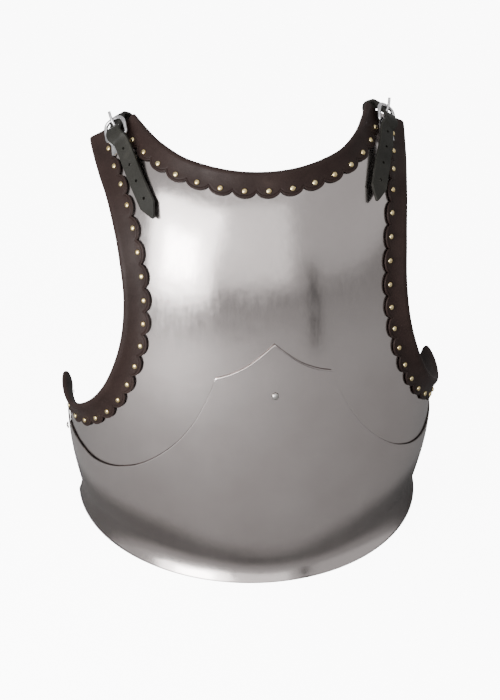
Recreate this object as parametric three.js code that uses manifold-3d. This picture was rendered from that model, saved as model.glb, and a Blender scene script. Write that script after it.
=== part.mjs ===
// Steel cuirass breastplate: a domed chest plate with leather-bound neck and arm edges, a cusped plackart
// riveted over its lower half, and a buckle with a hanging strap on each shoulder.
// Millimetres, +Z up, front towards -Y. It stands on the level rim of the plackart's flange.
import * as THREE from 'three';
import { mergeVertices } from 'three/addons/utils/BufferGeometryUtils.js';
import Module from 'manifold-3d';

const wasm = await Module();
wasm.setup();

// ---------------------------------------------------------------- driving dimensions
const CENTRE_BACK = 89.28; // from the front seam of the torso sections to the middle of the footprint
const STEEL = 1.6;
const LEATHER = 2.0;
const FIT_GAP = 0.3;
const LAP_GAP = 0.6; // between the two steel plates
const SIDE_ANGLE = 94; // half angle at which both plates end at the flanks, in degrees

// Torso sections from the flange crease up to beyond the shoulders. Each is half an ellipse that starts at
// the front seam (height, front), leans back by tilt degrees and is squared or pinched a little.
const SECTIONS = [
  { height: 26, front: -10, tilt: -2.5, half: 190, depth: 185, square: -0.02 },
  { height: 88, front: -11, tilt: 0, half: 200, depth: 175, square: -0.006 },
  { height: 150, front: -8, tilt: 0, half: 201, depth: 169, square: 0.004 },
  { height: 214, front: -5, tilt: 0, half: 195, depth: 168, square: 0.011 },
  { height: 270, front: 0, tilt: 1, half: 186, depth: 170, square: 0.015 },
  { height: 328, front: 8, tilt: 9, half: 179, depth: 173, square: 0.018 },
  { height: 383, front: 23, tilt: 25, half: 175, depth: 178, square: 0.02 },
  { height: 431, front: 49, tilt: 45, half: 175, depth: 185, square: 0.021 },
  { height: 467, front: 90, tilt: 64, half: 179, depth: 194, square: 0.022 },
  { height: 493, front: 146, tilt: 82, half: 188, depth: 204, square: 0.023 },
  { height: 519, front: 202, tilt: 100, half: 197, depth: 214, square: 0.024 },
];

// Edges on the torso: level counts sections from the crease, angle is in degrees from the front seam.
const NECK_EDGE = [
  { level: 6.98, angle: 0 },
  { level: 7.04, angle: 8.9 },
  { level: 7.23, angle: 17.4 },
  { level: 7.54, angle: 24.9 },
  { level: 8.03, angle: 30.9 },
  { level: 8.54, angle: 34.4 },
  { level: 9.03, angle: 36.8 },
];
const ARM_EDGE = [
  { level: 9.5, angle: 52 },
  { level: 8.6, angle: 52.3 },
  { level: 8, angle: 52.2 },
  { level: 6.8, angle: 50.5 },
  { level: 5.7, angle: 47.7 },
  { level: 4.7, angle: 45.3 },
  { level: 3.78, angle: 46.4 },
  { level: 2.96, angle: 51.9 },
  { level: 2.41, angle: 61.4 },
  { level: 2.11, angle: 74.9 },
  { level: 2.2, angle: 93.5 },
];
const BREASTPLATE_BOTTOM = 1.0; // level of the hidden lower edge, under the plackart

const PLACKART_PEAK = [
  { level: 4.04, angle: 0 },
  { level: 3.78, angle: 5 },
  { level: 3.63, angle: 8.5 },
  { level: 3.5, angle: 13 },
  { level: 3.425, angle: 17.1 },
];
const PLACKART_FLANK = [
  { level: 3.425, angle: 17.1 },
  { level: 3.05, angle: 19.3 },
  { level: 2.62, angle: 23 },
  { level: 2.24, angle: 28 },
  { level: 1.91, angle: 34.3 },
  { level: 1.64, angle: 41.4 },
  { level: 1.47, angle: 48 },
  { level: 1.34, angle: 55.5 },
  { level: 1.29, angle: 64.5 },
  { level: 1.38, angle: 75 },
  { level: 1.55, angle: SIDE_ANGLE },
];
// The rim is drawn in past turnIn degrees so that it ends square below the plackart's side.
const FLANGE = { front: -19, half: 194.5, depth: 213, rows: 3, hollow: 2.5, turnIn: 60, shorten: 0.09 };

// Outward turn of the plate's edges under the leather, and the leather bands.
const FLARE_WIDTH = 15;
const NECK_TRIM = { flare: 4, endFlare: 3, rivets: 15 };
const ARM_TRIM = { flare: 7.5, endFlare: 3.5, rivets: 19 };
const BAND = {
  rivetLine: 14,
  cusp: 15.2,
  crest: 21,
  endWidth: 18,
  inside: 18,
  bend: 6, // the leather follows the plate's curl here, outside and under it
  underBend: 5,
};
const SCALLOP_STEPS = 3;
const SCALLOP_ROUND = 0.86; // share of a half circle that each scallop follows
// Plain run before the first scallop at a shoulder end, in rivet pitches.
const TRIM_LEAD = 0.5;
const LEATHER_GAP = 0.85; // between the leather and the steel, and twice that past the steel's edge
const BRASS_HEAD = { radius: 2.8, shoulder: 0.7, height: 1.7, sides: 5, sunk: 0.5 };

const STEEL_RIVET = {
  headRadius: 3.7,
  headHeight: 2.2,
  bulge: 0.72, // the dome passes through this share of its radius at this share of its height
  shankRadius: 2,
  tailRadius: 3.3,
  tailHeight: 1.2,
  tailGap: 1,
  hole: 2.6,
  reach: 10,
  sides: 8,
};
const CENTRE_RIVET = { level: 3.08, angle: 0 };
const SIDE_RIVET = { level: 1.32, angle: 88 };

// Shoulder hardware. Across, along and lift are measured from a seat on the shoulder, along running up
// towards the shoulder's end.
const SHOULDER_SEAT = { level: 8.72, angle: 42.8, turn: 12 };
const BUCKLE = { wire: 2, hingeAlong: 1, hingeLift: 8.4, barLift: 11.5, length: 20, sides: 6, steps: 20 };
// Right half of the frame's centre line: across, and share of the way from the hinge bar to the far bar.
const BUCKLE_HALF = [
  [0, 0],
  [5, 0],
  [10.4, 0],
  [12, 0.06],
  [12.2, 0.3],
  [12, 0.58],
  [9.8, 0.86],
  [5, 0.98],
  [0, 1],
];
// Folded plate round the hinge bar. Its eye closes at eyeTurn degrees and runs down into the leaves over run.
const PLATE = {
  width: 18.6,
  length: 17,
  thick: 2.2,
  lift: 5,
  eye: 3.6,
  eyeTurn: 144,
  run: 1.4,
  hole: 2.7,
  slot: 4.2,
};
const PLATE_RIVET = { back: 10.5, radius: 3.2, top: 1.9, height: 0.9, shoulder: 0.2, sunk: 0.5, sides: 6 };
// pierce is the share of the prong's path at which it passes through the strap.
const PRONG = { radius: 1.5, sides: 6, steps: 14, pierce: 0.673, clearance: 0.9, reach: 4.5 };
const PRONG_PATH = [
  [1, 4.6],
  [-2.2, 5.9],
  [-3.1, 8.6],
  [-1.4, 11.4],
  [1.8, 12.1],
  [5, 11],
  [8, 8.9],
  [10.5, 7.7],
  [13, 8.6],
  [15.5, 11.3],
  [18.5, 14],
  [21.5, 15.4],
  [24.5, 16.5],
  [27.5, 17.4],
];
const STRAP = { width: 17, thick: 3, tip: 15, tipWidth: 2 };
const STRAP_HOLES = { count: 4, first: 8, gap: 20, radius: 1.7, sides: 6, reach: 3.2 };
// Strap route over the shoulder as across, along and lift, then the hanging inner end in plain drops.
const STRAP_OVER = [
  [-8, -11, 12],
  [-5, -5, 14.4],
  [-1.6, 1, 15.5],
  [-1, 8, 13.8],
  [-0.8, 13, 10],
  [-0.4, 17, 7.3],
  [0, 22, 5.9],
  [0, 26, 5.2],
  [0, 29.5, 3.4],
  [0, 31.4, -1],
  [0, 32.2, -8],
];
const STRAP_DROP = [8, 24, 42, 60];
const LEFT_TAIL = [
  { level: 6.78, angle: 37.5, lift: 5, roll: 0 },
  { level: 7.2, angle: 39.4, lift: 5, roll: 0 },
  { level: 7.65, angle: 40.7, lift: 6, roll: 0 },
  { level: 8.05, angle: 41, lift: 8.5, roll: 0 },
];
const RIGHT_TAIL = [
  { level: 6.88, angle: 37, lift: 6.5, roll: 14 },
  { level: 7.25, angle: 38.4, lift: 7, roll: 14 },
  { level: 7.7, angle: 40, lift: 8, roll: 12 },
  { level: 8.05, angle: 40.9, lift: 10, roll: 8 },
];

const STEEL_COLOUR = 0x9c9692;
const LEATHER_COLOUR = 0x33262a;
const STRAP_COLOUR = 0x2b2a28;
const NICKEL_COLOUR = 0xb9b6b8;

// ---------------------------------------------------------------- torso surface
const radians = THREE.MathUtils.degToRad;

// Uniform cubic B-spline through a column of the section table, carried on straight past both ends.
function sectionValue(column, level) {
  const last = SECTIONS.length - 1;
  const at = (i) => {
    if (i < 0) return 2 * SECTIONS[0][column] - SECTIONS[1][column];
    if (i > last) return 2 * SECTIONS[last][column] - SECTIONS[last - 1][column];
    return SECTIONS[i][column];
  };
  const i = Math.min(Math.max(Math.floor(level), 0), last - 1);
  const u = level - i;
  const weights = [(1 - u) ** 3, 3 * u ** 3 - 6 * u ** 2 + 4, -3 * u ** 3 + 3 * u ** 2 + 3 * u + 1, u ** 3];
  return weights.reduce((sum, w, k) => sum + (w * at(i - 1 + k)) / 6, 0);
}

const SECTION_COLUMNS = ['height', 'front', 'tilt', 'half', 'depth', 'square'];

function torsoPoint(level, angle) {
  const values = SECTION_COLUMNS.map((column) => sectionValue(column, level));
  const [height, front, tilt, half, depth, square] = values;
  const a = radians(angle);
  const across = (Math.sin(a) + square * Math.sin(3 * a)) / (1 - square);
  const back = depth * (1 - (Math.cos(a) - square * Math.cos(3 * a)) / (1 - square));
  const lean = radians(tilt);
  return new THREE.Vector3(half * across, front + back * Math.cos(lean), height - back * Math.sin(lean));
}

const PROBE = 1e-3;

// Surface derivatives by level and by degree, and the outward unit normal.
function torsoFrame(level, angle) {
  const point = torsoPoint(level, angle);
  const slope = (ahead, behind) => ahead.sub(behind).divideScalar(2 * PROBE);
  const byLevel = slope(torsoPoint(level + PROBE, angle), torsoPoint(level - PROBE, angle));
  const byAngle = slope(torsoPoint(level, angle + PROBE), torsoPoint(level, angle - PROBE));
  const normal = byAngle.clone().cross(byLevel).normalize();
  return { point, byLevel, byAngle, normal };
}

function onTorso(level, angle, lift) {
  const { point, normal } = torsoFrame(level, angle);
  return point.addScaledVector(normal, lift);
}

// ---------------------------------------------------------------- edge bands
function edgeCurve(rows) {
  return new THREE.SplineCurve(rows.map((row) => new THREE.Vector2(row.angle, row.level)));
}

const EDGE_SAMPLES = 400;

// A place on an edge, with the step in angle and level that leads one millimetre inwards across the band.
function edgeSite(curve, u) {
  const at = curve.getPoint(u);
  const tangent = curve.getTangent(u);
  const { byAngle, byLevel, normal } = torsoFrame(at.y, at.x);
  const along = byAngle.clone().multiplyScalar(tangent.x).addScaledVector(byLevel, tangent.y);
  const inward = along.cross(normal).normalize();
  const aa = byAngle.dot(byAngle);
  const ab = byAngle.dot(byLevel);
  const bb = byLevel.dot(byLevel);
  const ia = inward.dot(byAngle);
  const ib = inward.dot(byLevel);
  const det = aa * bb - ab * ab;
  return {
    angle: at.x,
    level: at.y,
    angleStep: (ia * bb - ib * ab) / det,
    levelStep: (ib * aa - ia * ab) / det,
  };
}

// Stations along an edge at the given shares of its length, which is measured along the line of the rivets.
function edgeStations(curve, shares) {
  const samples = evenSteps(0, 1, EDGE_SAMPLES).map((u) => ({ u, ...edgeSite(curve, u) }));
  let length = 0;
  let previous = null;
  for (const sample of samples) {
    const { level, levelStep, angle, angleStep } = sample;
    const point = torsoPoint(level + levelStep * BAND.rivetLine, angle + angleStep * BAND.rivetLine);
    if (previous) length += point.distanceTo(previous);
    sample.length = length;
    previous = point;
  }
  return shares.map((share) => {
    const wanted = length * share;
    const i = Math.max(1, samples.findIndex((sample) => sample.length >= wanted - 1e-9));
    const before = samples[i - 1];
    const part = (wanted - before.length) / (samples[i].length - before.length);
    const u = Math.min(before.u + part / EDGE_SAMPLES, 1);
    return { share, ...edgeSite(curve, u) };
  });
}

function flareHeight(trim, share) {
  const bell = Math.sin(Math.PI * Math.min(Math.max(share, 0), 1)) ** 0.5;
  return trim.endFlare + (trim.flare - trim.endFlare) * bell;
}

// A point of the band: s mm inwards from the edge, lift mm off the flared plate along its own normal.
function bandPoint(station, flare, s, lift) {
  const rest = Math.max(0, 1 - s / FLARE_WIDTH);
  const slope = (-2 * flare * rest) / FLARE_WIDTH;
  const stretch = Math.hypot(1, slope);
  const across = s - (lift * slope) / stretch;
  const up = flare * rest * rest + lift / stretch;
  return onTorso(station.level + station.levelStep * across, station.angle + station.angleStep * across, up);
}

// ---------------------------------------------------------------- mesh building
function geometryFrom(points, triangles) {
  const geometry = new THREE.BufferGeometry();
  const coordinates = points.flatMap((point) => point.toArray());
  geometry.setAttribute('position', new THREE.Float32BufferAttribute(coordinates, 3));
  let volume = 0;
  for (const [a, b, c] of triangles) volume += points[a].dot(points[b].clone().cross(points[c]));
  const outward = volume > 0 ? triangles : triangles.map(([a, b, c]) => [a, c, b]);
  geometry.setIndex(outward.flat());
  geometry.computeVertexNormals();
  return geometry;
}

// Closed slab between an outer and an inner grid of the same rows and columns.
function slab(outer, inner) {
  const rows = outer.length;
  const columns = outer[0].length;
  const points = [...outer.flat(), ...inner.flat()];
  const top = (r, c) => r * columns + c;
  const under = (r, c) => rows * columns + r * columns + c;
  const triangles = [];
  const quad = (a, b, c, d) => triangles.push([a, b, c], [a, c, d]);
  for (let r = 0; r + 1 < rows; r++) {
    for (let c = 0; c + 1 < columns; c++) {
      const corners = [[r, c], [r, c + 1], [r + 1, c + 1], [r + 1, c]];
      if (2 * c < columns - 1) corners.push(corners.shift());
      const [first, second, third, fourth] = corners;
      quad(top(...first), top(...second), top(...third), top(...fourth));
      quad(under(...first), under(...fourth), under(...third), under(...second));
    }
  }
  for (let c = 0; c + 1 < columns; c++) {
    quad(top(0, c), under(0, c), under(0, c + 1), top(0, c + 1));
    quad(top(rows - 1, c), top(rows - 1, c + 1), under(rows - 1, c + 1), under(rows - 1, c));
  }
  for (let r = 0; r + 1 < rows; r++) {
    quad(top(r, 0), top(r + 1, 0), under(r + 1, 0), under(r, 0));
    quad(top(r, columns - 1), under(r, columns - 1), under(r + 1, columns - 1), top(r + 1, columns - 1));
  }
  return geometryFrom(points, triangles);
}

// Closed sweep through rings of equal point count, capped with the given outline triangles.
function sweep(rings, capOutline) {
  const size = rings[0].length;
  const points = rings.flat();
  const triangles = [];
  for (let r = 0; r + 1 < rings.length; r++) {
    for (let k = 0; k < size; k++) {
      const a = r * size + k;
      const b = r * size + ((k + 1) % size);
      triangles.push([a, b, b + size], [a, b + size, a + size]);
    }
  }
  const lastRing = (rings.length - 1) * size;
  const cap = THREE.ShapeUtils.triangulateShape(capOutline, []);
  const firstEdge = new Set(cap.flatMap(([a, b, c]) => [`${a},${b}`, `${b},${c}`, `${c},${a}`]));
  const runsForward = firstEdge.has('0,1');
  for (const [a, b, c] of cap) {
    const [second, third] = runsForward ? [c, b] : [b, c];
    triangles.push([a, second, third], [lastRing + a, lastRing + third, lastRing + second]);
  }
  return geometryFrom(points, triangles);
}

function bareCopy(geometry) {
  const bare = geometry.clone();
  bare.deleteAttribute('normal');
  bare.deleteAttribute('uv');
  return bare;
}

function toSolid(geometry) {
  const merged = mergeVertices(bareCopy(geometry), 1e-4);
  return new wasm.Manifold(
    new wasm.Mesh({
      numProp: 3,
      vertProperties: new Float32Array(merged.attributes.position.array),
      triVerts: new Uint32Array(merged.index.array),
    }),
  );
}

function fromSolid(solid) {
  const mesh = solid.getMesh();
  const geometry = new THREE.BufferGeometry();
  geometry.setAttribute('position', new THREE.BufferAttribute(new Float32Array(mesh.vertProperties), 3));
  geometry.setIndex([...mesh.triVerts]);
  geometry.computeVertexNormals();
  return geometry;
}

function joined(geometry, extras) {
  return fromSolid(extras.reduce((solid, extra) => solid.add(toSolid(extra)), toSolid(geometry)));
}

function cutBy(geometry, tools) {
  return fromSolid(tools.reduce((solid, tool) => solid.subtract(toSolid(tool)), toSolid(geometry)));
}

function mirrored(geometry) {
  const copy = geometry.clone();
  copy.scale(-1, 1, 1);
  const index = copy.index.array;
  for (let i = 0; i < index.length; i += 3) [index[i + 1], index[i + 2]] = [index[i + 2], index[i + 1]];
  copy.computeVertexNormals();
  return copy;
}

// Turned solid about the given normal, its profile in (radius, height) pairs closed on the axis.
function turned(profile, sides, origin, normal) {
  const outline = profile.map(([radius, height]) => new THREE.Vector2(radius, height));
  const geometry = new THREE.LatheGeometry(outline, sides);
  geometry.applyQuaternion(new THREE.Quaternion().setFromUnitVectors(new THREE.Vector3(0, 1, 0), normal));
  geometry.translate(origin.x, origin.y, origin.z);
  return geometry;
}

// ---------------------------------------------------------------- plates
// The right half of the breastplate is one grid. Its columns run from the front seam (0) through the line
// where the leather band begins (BAND_COLUMN) to the arm edge (1). Its rows run from the hidden lower edge
// and the flank (0) to the neck edge and the shoulder end (1).
const BAND_COLUMN = 0.8;
const SHOULDER_COLUMN = 0.64; // inner corner of the shoulder
const FLANK_COLUMN = 0.72; // lower corner of the flank
const PLATE_BAND = 25; // width of the evenly spaced strip along the arm edge
const PLATE_BAND_STEPS = [14.5, 9.5, 4.5, 0];
const NECK_COLUMNS = 8;
const ROW_SHARES = [...evenSteps(0, 0.45, 10), ...evenSteps(0.5, 0.9, 7), 0.93, 0.953, 0.977, 1];

function evenSteps(from, to, count) {
  return Array.from({ length: count + 1 }, (_, i) => from + ((to - from) * i) / count);
}

const neckCurve = edgeCurve(NECK_EDGE);
const armCurve = edgeCurve(ARM_EDGE);
const COLUMNS = [
  ...evenSteps(0, SHOULDER_COLUMN, NECK_COLUMNS),
  FLANK_COLUMN,
  BAND_COLUMN,
  ...PLATE_BAND_STEPS.map((s) => 1 - ((1 - BAND_COLUMN) * s) / PLATE_BAND),
];

const ARM_FINE = 96;
const armFine = edgeStations(armCurve, evenSteps(0, 1, ARM_FINE)).reverse();

// Angle and level s mm inside the arm edge, share of the way from the wing tip to the shoulder.
function besideArm(share, s) {
  const place = Math.min(share * ARM_FINE, ARM_FINE - 1e-6);
  const before = armFine[Math.floor(place)];
  const after = armFine[Math.floor(place) + 1];
  const site = (station) =>
    new THREE.Vector2(station.angle + station.angleStep * s, station.level + station.levelStep * s);
  return site(before).lerp(site(after), place - Math.floor(place));
}

function breastplateBottom(u) {
  const corner = new THREE.Vector2(SIDE_ANGLE, BREASTPLATE_BOTTOM);
  if (u <= FLANK_COLUMN) return new THREE.Vector2(0, BREASTPLATE_BOTTOM).lerp(corner, u / FLANK_COLUMN);
  return corner.lerp(besideArm(0, PLATE_BAND), (u - FLANK_COLUMN) / (BAND_COLUMN - FLANK_COLUMN));
}

function breastplateTop(u) {
  if (u <= SHOULDER_COLUMN) return neckCurve.getPoint(u / SHOULDER_COLUMN);
  const share = (u - SHOULDER_COLUMN) / (BAND_COLUMN - SHOULDER_COLUMN);
  return neckCurve.getPoint(1).lerp(besideArm(1, PLATE_BAND), share);
}

// Blend of the four edges of the part inside the band, in angle and level.
function breastplateSite(u, v) {
  if (u > BAND_COLUMN) return besideArm(v, (PLATE_BAND * (1 - u)) / (1 - BAND_COLUMN));
  const across = u / BAND_COLUMN;
  const straight = (from, to) => from.clone().lerp(to, across);
  const left = breastplateBottom(0).lerp(breastplateTop(0), v);
  const bottomBow = breastplateBottom(u).sub(straight(breastplateBottom(0), breastplateBottom(BAND_COLUMN)));
  const topBow = breastplateTop(u).sub(straight(breastplateTop(0), breastplateTop(BAND_COLUMN)));
  const plain = straight(left, besideArm(v, PLATE_BAND));
  return plain.addScaledVector(bottomBow, 1 - v).addScaledVector(topBow, v);
}

const FLARE_SAMPLES = 120;

function flaredEdge(curve, trim, shareOf) {
  return edgeStations(curve, evenSteps(0, 1, FLARE_SAMPLES)).map(({ level, angle, share }) => ({
    point: torsoPoint(level, angle),
    flare: flareHeight(trim, shareOf(share)),
  }));
}
const neckFlare = flaredEdge(neckCurve, NECK_TRIM, (share) => 0.5 + share / 2);
const armFlare = flaredEdge(armCurve, ARM_TRIM, (share) => share);

function flareLift(point, samples) {
  let nearest = Infinity;
  let flare = 0;
  for (let i = 0; i + 1 < samples.length; i++) {
    const segment = new THREE.Line3(samples[i].point, samples[i + 1].point);
    const share = segment.closestPointToPointParameter(point, true);
    const distance = segment.at(share, new THREE.Vector3()).distanceTo(point);
    if (distance < nearest) {
      nearest = distance;
      flare = THREE.MathUtils.lerp(samples[i].flare, samples[i + 1].flare, share);
    }
  }
  return flare * Math.max(0, 1 - nearest / FLARE_WIDTH) ** 2;
}

function breastplatePoint(u, v) {
  const site = breastplateSite(Math.abs(u), v);
  const { point, normal } = torsoFrame(site.y, site.x);
  const lift = flareLift(point, neckFlare) + flareLift(point, armFlare);
  point.addScaledVector(normal, lift);
  if (u < 0) point.x = -point.x;
  return point;
}

// Grid points pushed along the grid's own normals.
function offsetGrid(grid, distance) {
  const rows = grid.length;
  const columns = grid[0].length;
  return grid.map((row, r) =>
    row.map((point, c) => {
      const across = grid[r][Math.min(c + 1, columns - 1)].clone().sub(grid[r][Math.max(c - 1, 0)]);
      const up = grid[Math.min(r + 1, rows - 1)][c].clone().sub(grid[Math.max(r - 1, 0)][c]);
      return point.clone().addScaledVector(across.cross(up).normalize(), distance);
    }),
  );
}

function bothSides(shares) {
  return [...shares.slice(1).map((share) => -share).reverse(), ...shares];
}

// Straight round cutter, reaching both ways from its centre.
function punch(centre, direction, radius, reach, sides = STRAP_HOLES.sides) {
  return turned([[0, -reach], [radius, -reach], [radius, reach], [0, reach]], sides, centre, direction);
}

function rivetHole(site) {
  const { point, normal } = torsoFrame(site.level, site.angle);
  return punch(point, normal, STEEL_RIVET.hole, STEEL_RIVET.reach, STEEL_RIVET.sides);
}

function plateHoles() {
  const side = rivetHole(SIDE_RIVET);
  return [rivetHole(CENTRE_RIVET), side, mirrored(side)];
}

function breastplate() {
  const columns = bothSides(COLUMNS);
  const outer = ROW_SHARES.map((v) => columns.map((u) => breastplatePoint(u, v)));
  return cutBy(slab(outer, offsetGrid(outer, -STEEL)), plateHoles());
}

const PEAK_ANGLES = [0, 4, 8.5, 13, 17.1];
const FLANK_ANGLES = [19, 22, 26, 31, 37, 43.5, 50, 57, 64, 71, 78.5, 86, SIDE_ANGLE];
const PLACKART_ROWS = 5;
const PLACKART_LIFT = LAP_GAP + STEEL;

function levelAt(rows, angle) {
  const curve = edgeCurve(rows);
  let low = 0;
  let high = 1;
  for (let i = 0; i < 40; i++) {
    const middle = (low + high) / 2;
    if (curve.getPoint(middle).x < angle) low = middle;
    else high = middle;
  }
  return curve.getPoint(low).y;
}

function plackartTop(angle) {
  const side = Math.abs(angle);
  return side <= PLACKART_PEAK.at(-1).angle ? levelAt(PLACKART_PEAK, side) : levelAt(PLACKART_FLANK, side);
}

// Flange from the rim (share 0) up to the crease (share 1), a little hollow on its outside.
function flangePoint(angle, share) {
  const beyond = Math.max(0, Math.abs(angle) - FLANGE.turnIn);
  const a = radians(angle - Math.sign(angle) * beyond * FLANGE.shorten);
  const crease = onTorso(0, angle, PLACKART_LIFT);
  const rim = new THREE.Vector3(
    FLANGE.half * Math.sin(a),
    FLANGE.front + FLANGE.depth * (1 - Math.cos(a)),
    0,
  );
  const point = rim.clone().lerp(crease, share);
  const outward = new THREE.Vector3(Math.sin(a), -Math.cos(a), 0);
  return point.addScaledVector(outward, -FLANGE.hollow * 4 * share * (1 - share));
}

function plackart() {
  const angles = bothSides([...PEAK_ANGLES, ...FLANK_ANGLES]);
  const outer = [];
  for (let r = 0; r < FLANGE.rows; r++) {
    outer.push(angles.map((angle) => flangePoint(angle, r / FLANGE.rows)));
  }
  for (let r = 0; r <= PLACKART_ROWS; r++) {
    const share = r / PLACKART_ROWS;
    outer.push(angles.map((angle) => onTorso(plackartTop(angle) * share, angle, PLACKART_LIFT)));
  }
  const inner = offsetGrid(outer, -STEEL);
  for (const point of inner[0]) point.z = 0;
  return cutBy(slab(outer, inner), plateHoles());
}

// ---------------------------------------------------------------- leather trims
// Width of the outer leg: round scallops centred on the rivets.
function scallopWidth(phase) {
  const crown = Math.sqrt(1 - SCALLOP_ROUND * (2 * phase - 1) ** 2);
  const low = Math.sqrt(1 - SCALLOP_ROUND);
  return BAND.cusp + ((BAND.crest - BAND.cusp) * (crown - low)) / (1 - low);
}

// Outline of the folded band in (distance from the edge, lift off the plate).
function bandOutline(width) {
  const wrap = 2 * LEATHER_GAP;
  const fold = wrap + LEATHER;
  const over = LEATHER_GAP;
  const under = -STEEL - LEATHER_GAP;
  return [
    [-fold, over + LEATHER / 2],
    [BAND.bend, over + LEATHER],
    [width, over + LEATHER],
    [width, over],
    [BAND.bend, over],
    [-wrap, over],
    [-wrap, under],
    [BAND.underBend, under],
    [2 * BAND.underBend, under],
    [BAND.inside, under],
    [BAND.inside, under - LEATHER],
    [BAND.bend, under - LEATHER],
    [-fold, under - LEATHER / 2],
  ];
}

// One trim along a run of stations. Each rivet sits in the middle of its scallop.
function trimSolid(stations, trim, rivetSites) {
  const rings = stations.map((station) => {
    const flare = flareHeight(trim, station.share);
    return bandOutline(station.width).map(([s, lift]) => bandPoint(station, flare, s, lift));
  });
  const outline = bandOutline(BAND.crest).map(([s, lift]) => new THREE.Vector2(s, lift));
  const heads = rivetSites.map((station) => {
    const flare = flareHeight(trim, station.share);
    const base = bandPoint(station, flare, BAND.rivetLine, LEATHER_GAP + LEATHER);
    const above = bandPoint(station, flare, BAND.rivetLine, LEATHER_GAP + LEATHER + 1);
    return turned(
      [
        [0, -BRASS_HEAD.sunk],
        [BRASS_HEAD.radius, -BRASS_HEAD.sunk],
        [BRASS_HEAD.radius, BRASS_HEAD.shoulder],
        [0, BRASS_HEAD.height],
      ],
      BRASS_HEAD.sides,
      base,
      above.sub(base).normalize(),
    );
  });
  return joined(sweep(rings, outline), heads);
}

// Trim along an edge: a plain lead at one or both ends, then one scallop around each rivet.
function edgeTrim(curve, trim, plainEnds) {
  const lead = TRIM_LEAD;
  const pitches = trim.rivets + lead * plainEnds;
  const run = [{ at: 0, width: BAND.endWidth }, { at: lead / 2, width: BAND.endWidth }];
  for (let k = 0; k <= trim.rivets * SCALLOP_STEPS; k++) {
    run.push({ at: lead + k / SCALLOP_STEPS, width: scallopWidth((k % SCALLOP_STEPS) / SCALLOP_STEPS) });
  }
  if (plainEnds === 2) {
    run.push({ at: pitches - lead / 2, width: BAND.endWidth }, { at: pitches, width: BAND.endWidth });
  }
  const stations = edgeStations(curve, run.map(({ at }) => Math.min(at / pitches, 1)));
  stations.forEach((station, i) => {
    station.width = run[i].width;
  });
  const sites = evenSteps(0, trim.rivets - 1, trim.rivets - 1).map((k) => (lead + k + 0.5) / pitches);
  return trimSolid(stations, trim, edgeStations(curve, sites));
}

function armTrim() {
  return edgeTrim(armCurve, ARM_TRIM, 1);
}

function neckTrim() {
  const rightRows = NECK_EDGE.slice(1);
  const leftRows = rightRows.map((row) => ({ level: row.level, angle: -row.angle })).reverse();
  return edgeTrim(edgeCurve([...leftRows, ...NECK_EDGE]), NECK_TRIM, 2);
}

// ---------------------------------------------------------------- rivets
function steelRivet(site) {
  const { point, normal } = torsoFrame(site.level, site.angle);
  const seat = PLACKART_LIFT + FIT_GAP;
  const inside = -STEEL - STEEL_RIVET.tailGap;
  return turned(
    [
      [0, inside - STEEL_RIVET.tailHeight],
      [STEEL_RIVET.tailRadius, inside - STEEL_RIVET.tailHeight / 2],
      [STEEL_RIVET.tailRadius, inside],
      [STEEL_RIVET.shankRadius, inside],
      [STEEL_RIVET.shankRadius, seat],
      [STEEL_RIVET.headRadius, seat],
      [STEEL_RIVET.headRadius * STEEL_RIVET.bulge, seat + STEEL_RIVET.headHeight * STEEL_RIVET.bulge],
      [0, seat + STEEL_RIVET.headHeight],
    ],
    STEEL_RIVET.sides,
    point,
    normal,
  );
}

// ---------------------------------------------------------------- shoulder hardware
const seat = torsoFrame(SHOULDER_SEAT.level, SHOULDER_SEAT.angle);
const seatAlong = seat.byLevel.clone().normalize().applyAxisAngle(seat.normal, radians(SHOULDER_SEAT.turn));
const seatAcross = seatAlong.clone().cross(seat.normal).normalize();

function atSeat(across, along, lift) {
  return seat.point
    .clone()
    .addScaledVector(seatAcross, across)
    .addScaledVector(seatAlong, along)
    .addScaledVector(seat.normal, lift);
}

// Closed tube around a closed curve.
function loopTube(curve, radius, steps, sides) {
  const frames = curve.computeFrenetFrames(steps, true);
  const points = [];
  for (let i = 0; i < steps; i++) {
    const centre = curve.getPointAt(i / steps);
    for (let k = 0; k < sides; k++) {
      const turn = (2 * Math.PI * k) / sides;
      const out = frames.normals[i].clone().multiplyScalar(Math.cos(turn) * radius);
      points.push(centre.clone().add(out).addScaledVector(frames.binormals[i], Math.sin(turn) * radius));
    }
  }
  const triangles = [];
  for (let i = 0; i < steps; i++) {
    for (let k = 0; k < sides; k++) {
      const [a, b] = [i * sides + k, i * sides + ((k + 1) % sides)];
      const [c, d] = [((i + 1) % steps) * sides + k, ((i + 1) % steps) * sides + ((k + 1) % sides)];
      triangles.push([a, b, d], [a, d, c]);
    }
  }
  return geometryFrom(points, triangles);
}

function buckleFrame() {
  const lift = (share) => THREE.MathUtils.lerp(BUCKLE.hingeLift, BUCKLE.barLift, share);
  const place = ([across, share]) => atSeat(across, BUCKLE.hingeAlong + BUCKLE.length * share, lift(share));
  const left = BUCKLE_HALF.slice(1, -1).map(([across, share]) => [-across, share]).reverse();
  const curve = new THREE.CatmullRomCurve3([...BUCKLE_HALF, ...left].map(place), true);
  return loopTube(curve, BUCKLE.wire, BUCKLE.steps, BUCKLE.sides);
}

function circleShape(radius, sides) {
  const shape = new THREE.Shape();
  for (let k = 0; k < sides; k++) {
    const turn = (2 * Math.PI * k) / sides;
    if (k === 0) shape.moveTo(radius, 0);
    else shape.lineTo(radius * Math.cos(turn), radius * Math.sin(turn));
  }
  shape.closePath();
  return shape;
}

function prongCurve() {
  return new THREE.CatmullRomCurve3(PRONG_PATH.map(([along, lift]) => atSeat(0, along, lift)));
}

function prong() {
  return new THREE.ExtrudeGeometry(circleShape(PRONG.radius, PRONG.sides), {
    steps: PRONG.steps,
    extrudePath: prongCurve(),
  });
}

function seatMatrix() {
  return new THREE.Matrix4().makeBasis(seatAlong, seat.normal, seatAcross).setPosition(seat.point);
}

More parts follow.
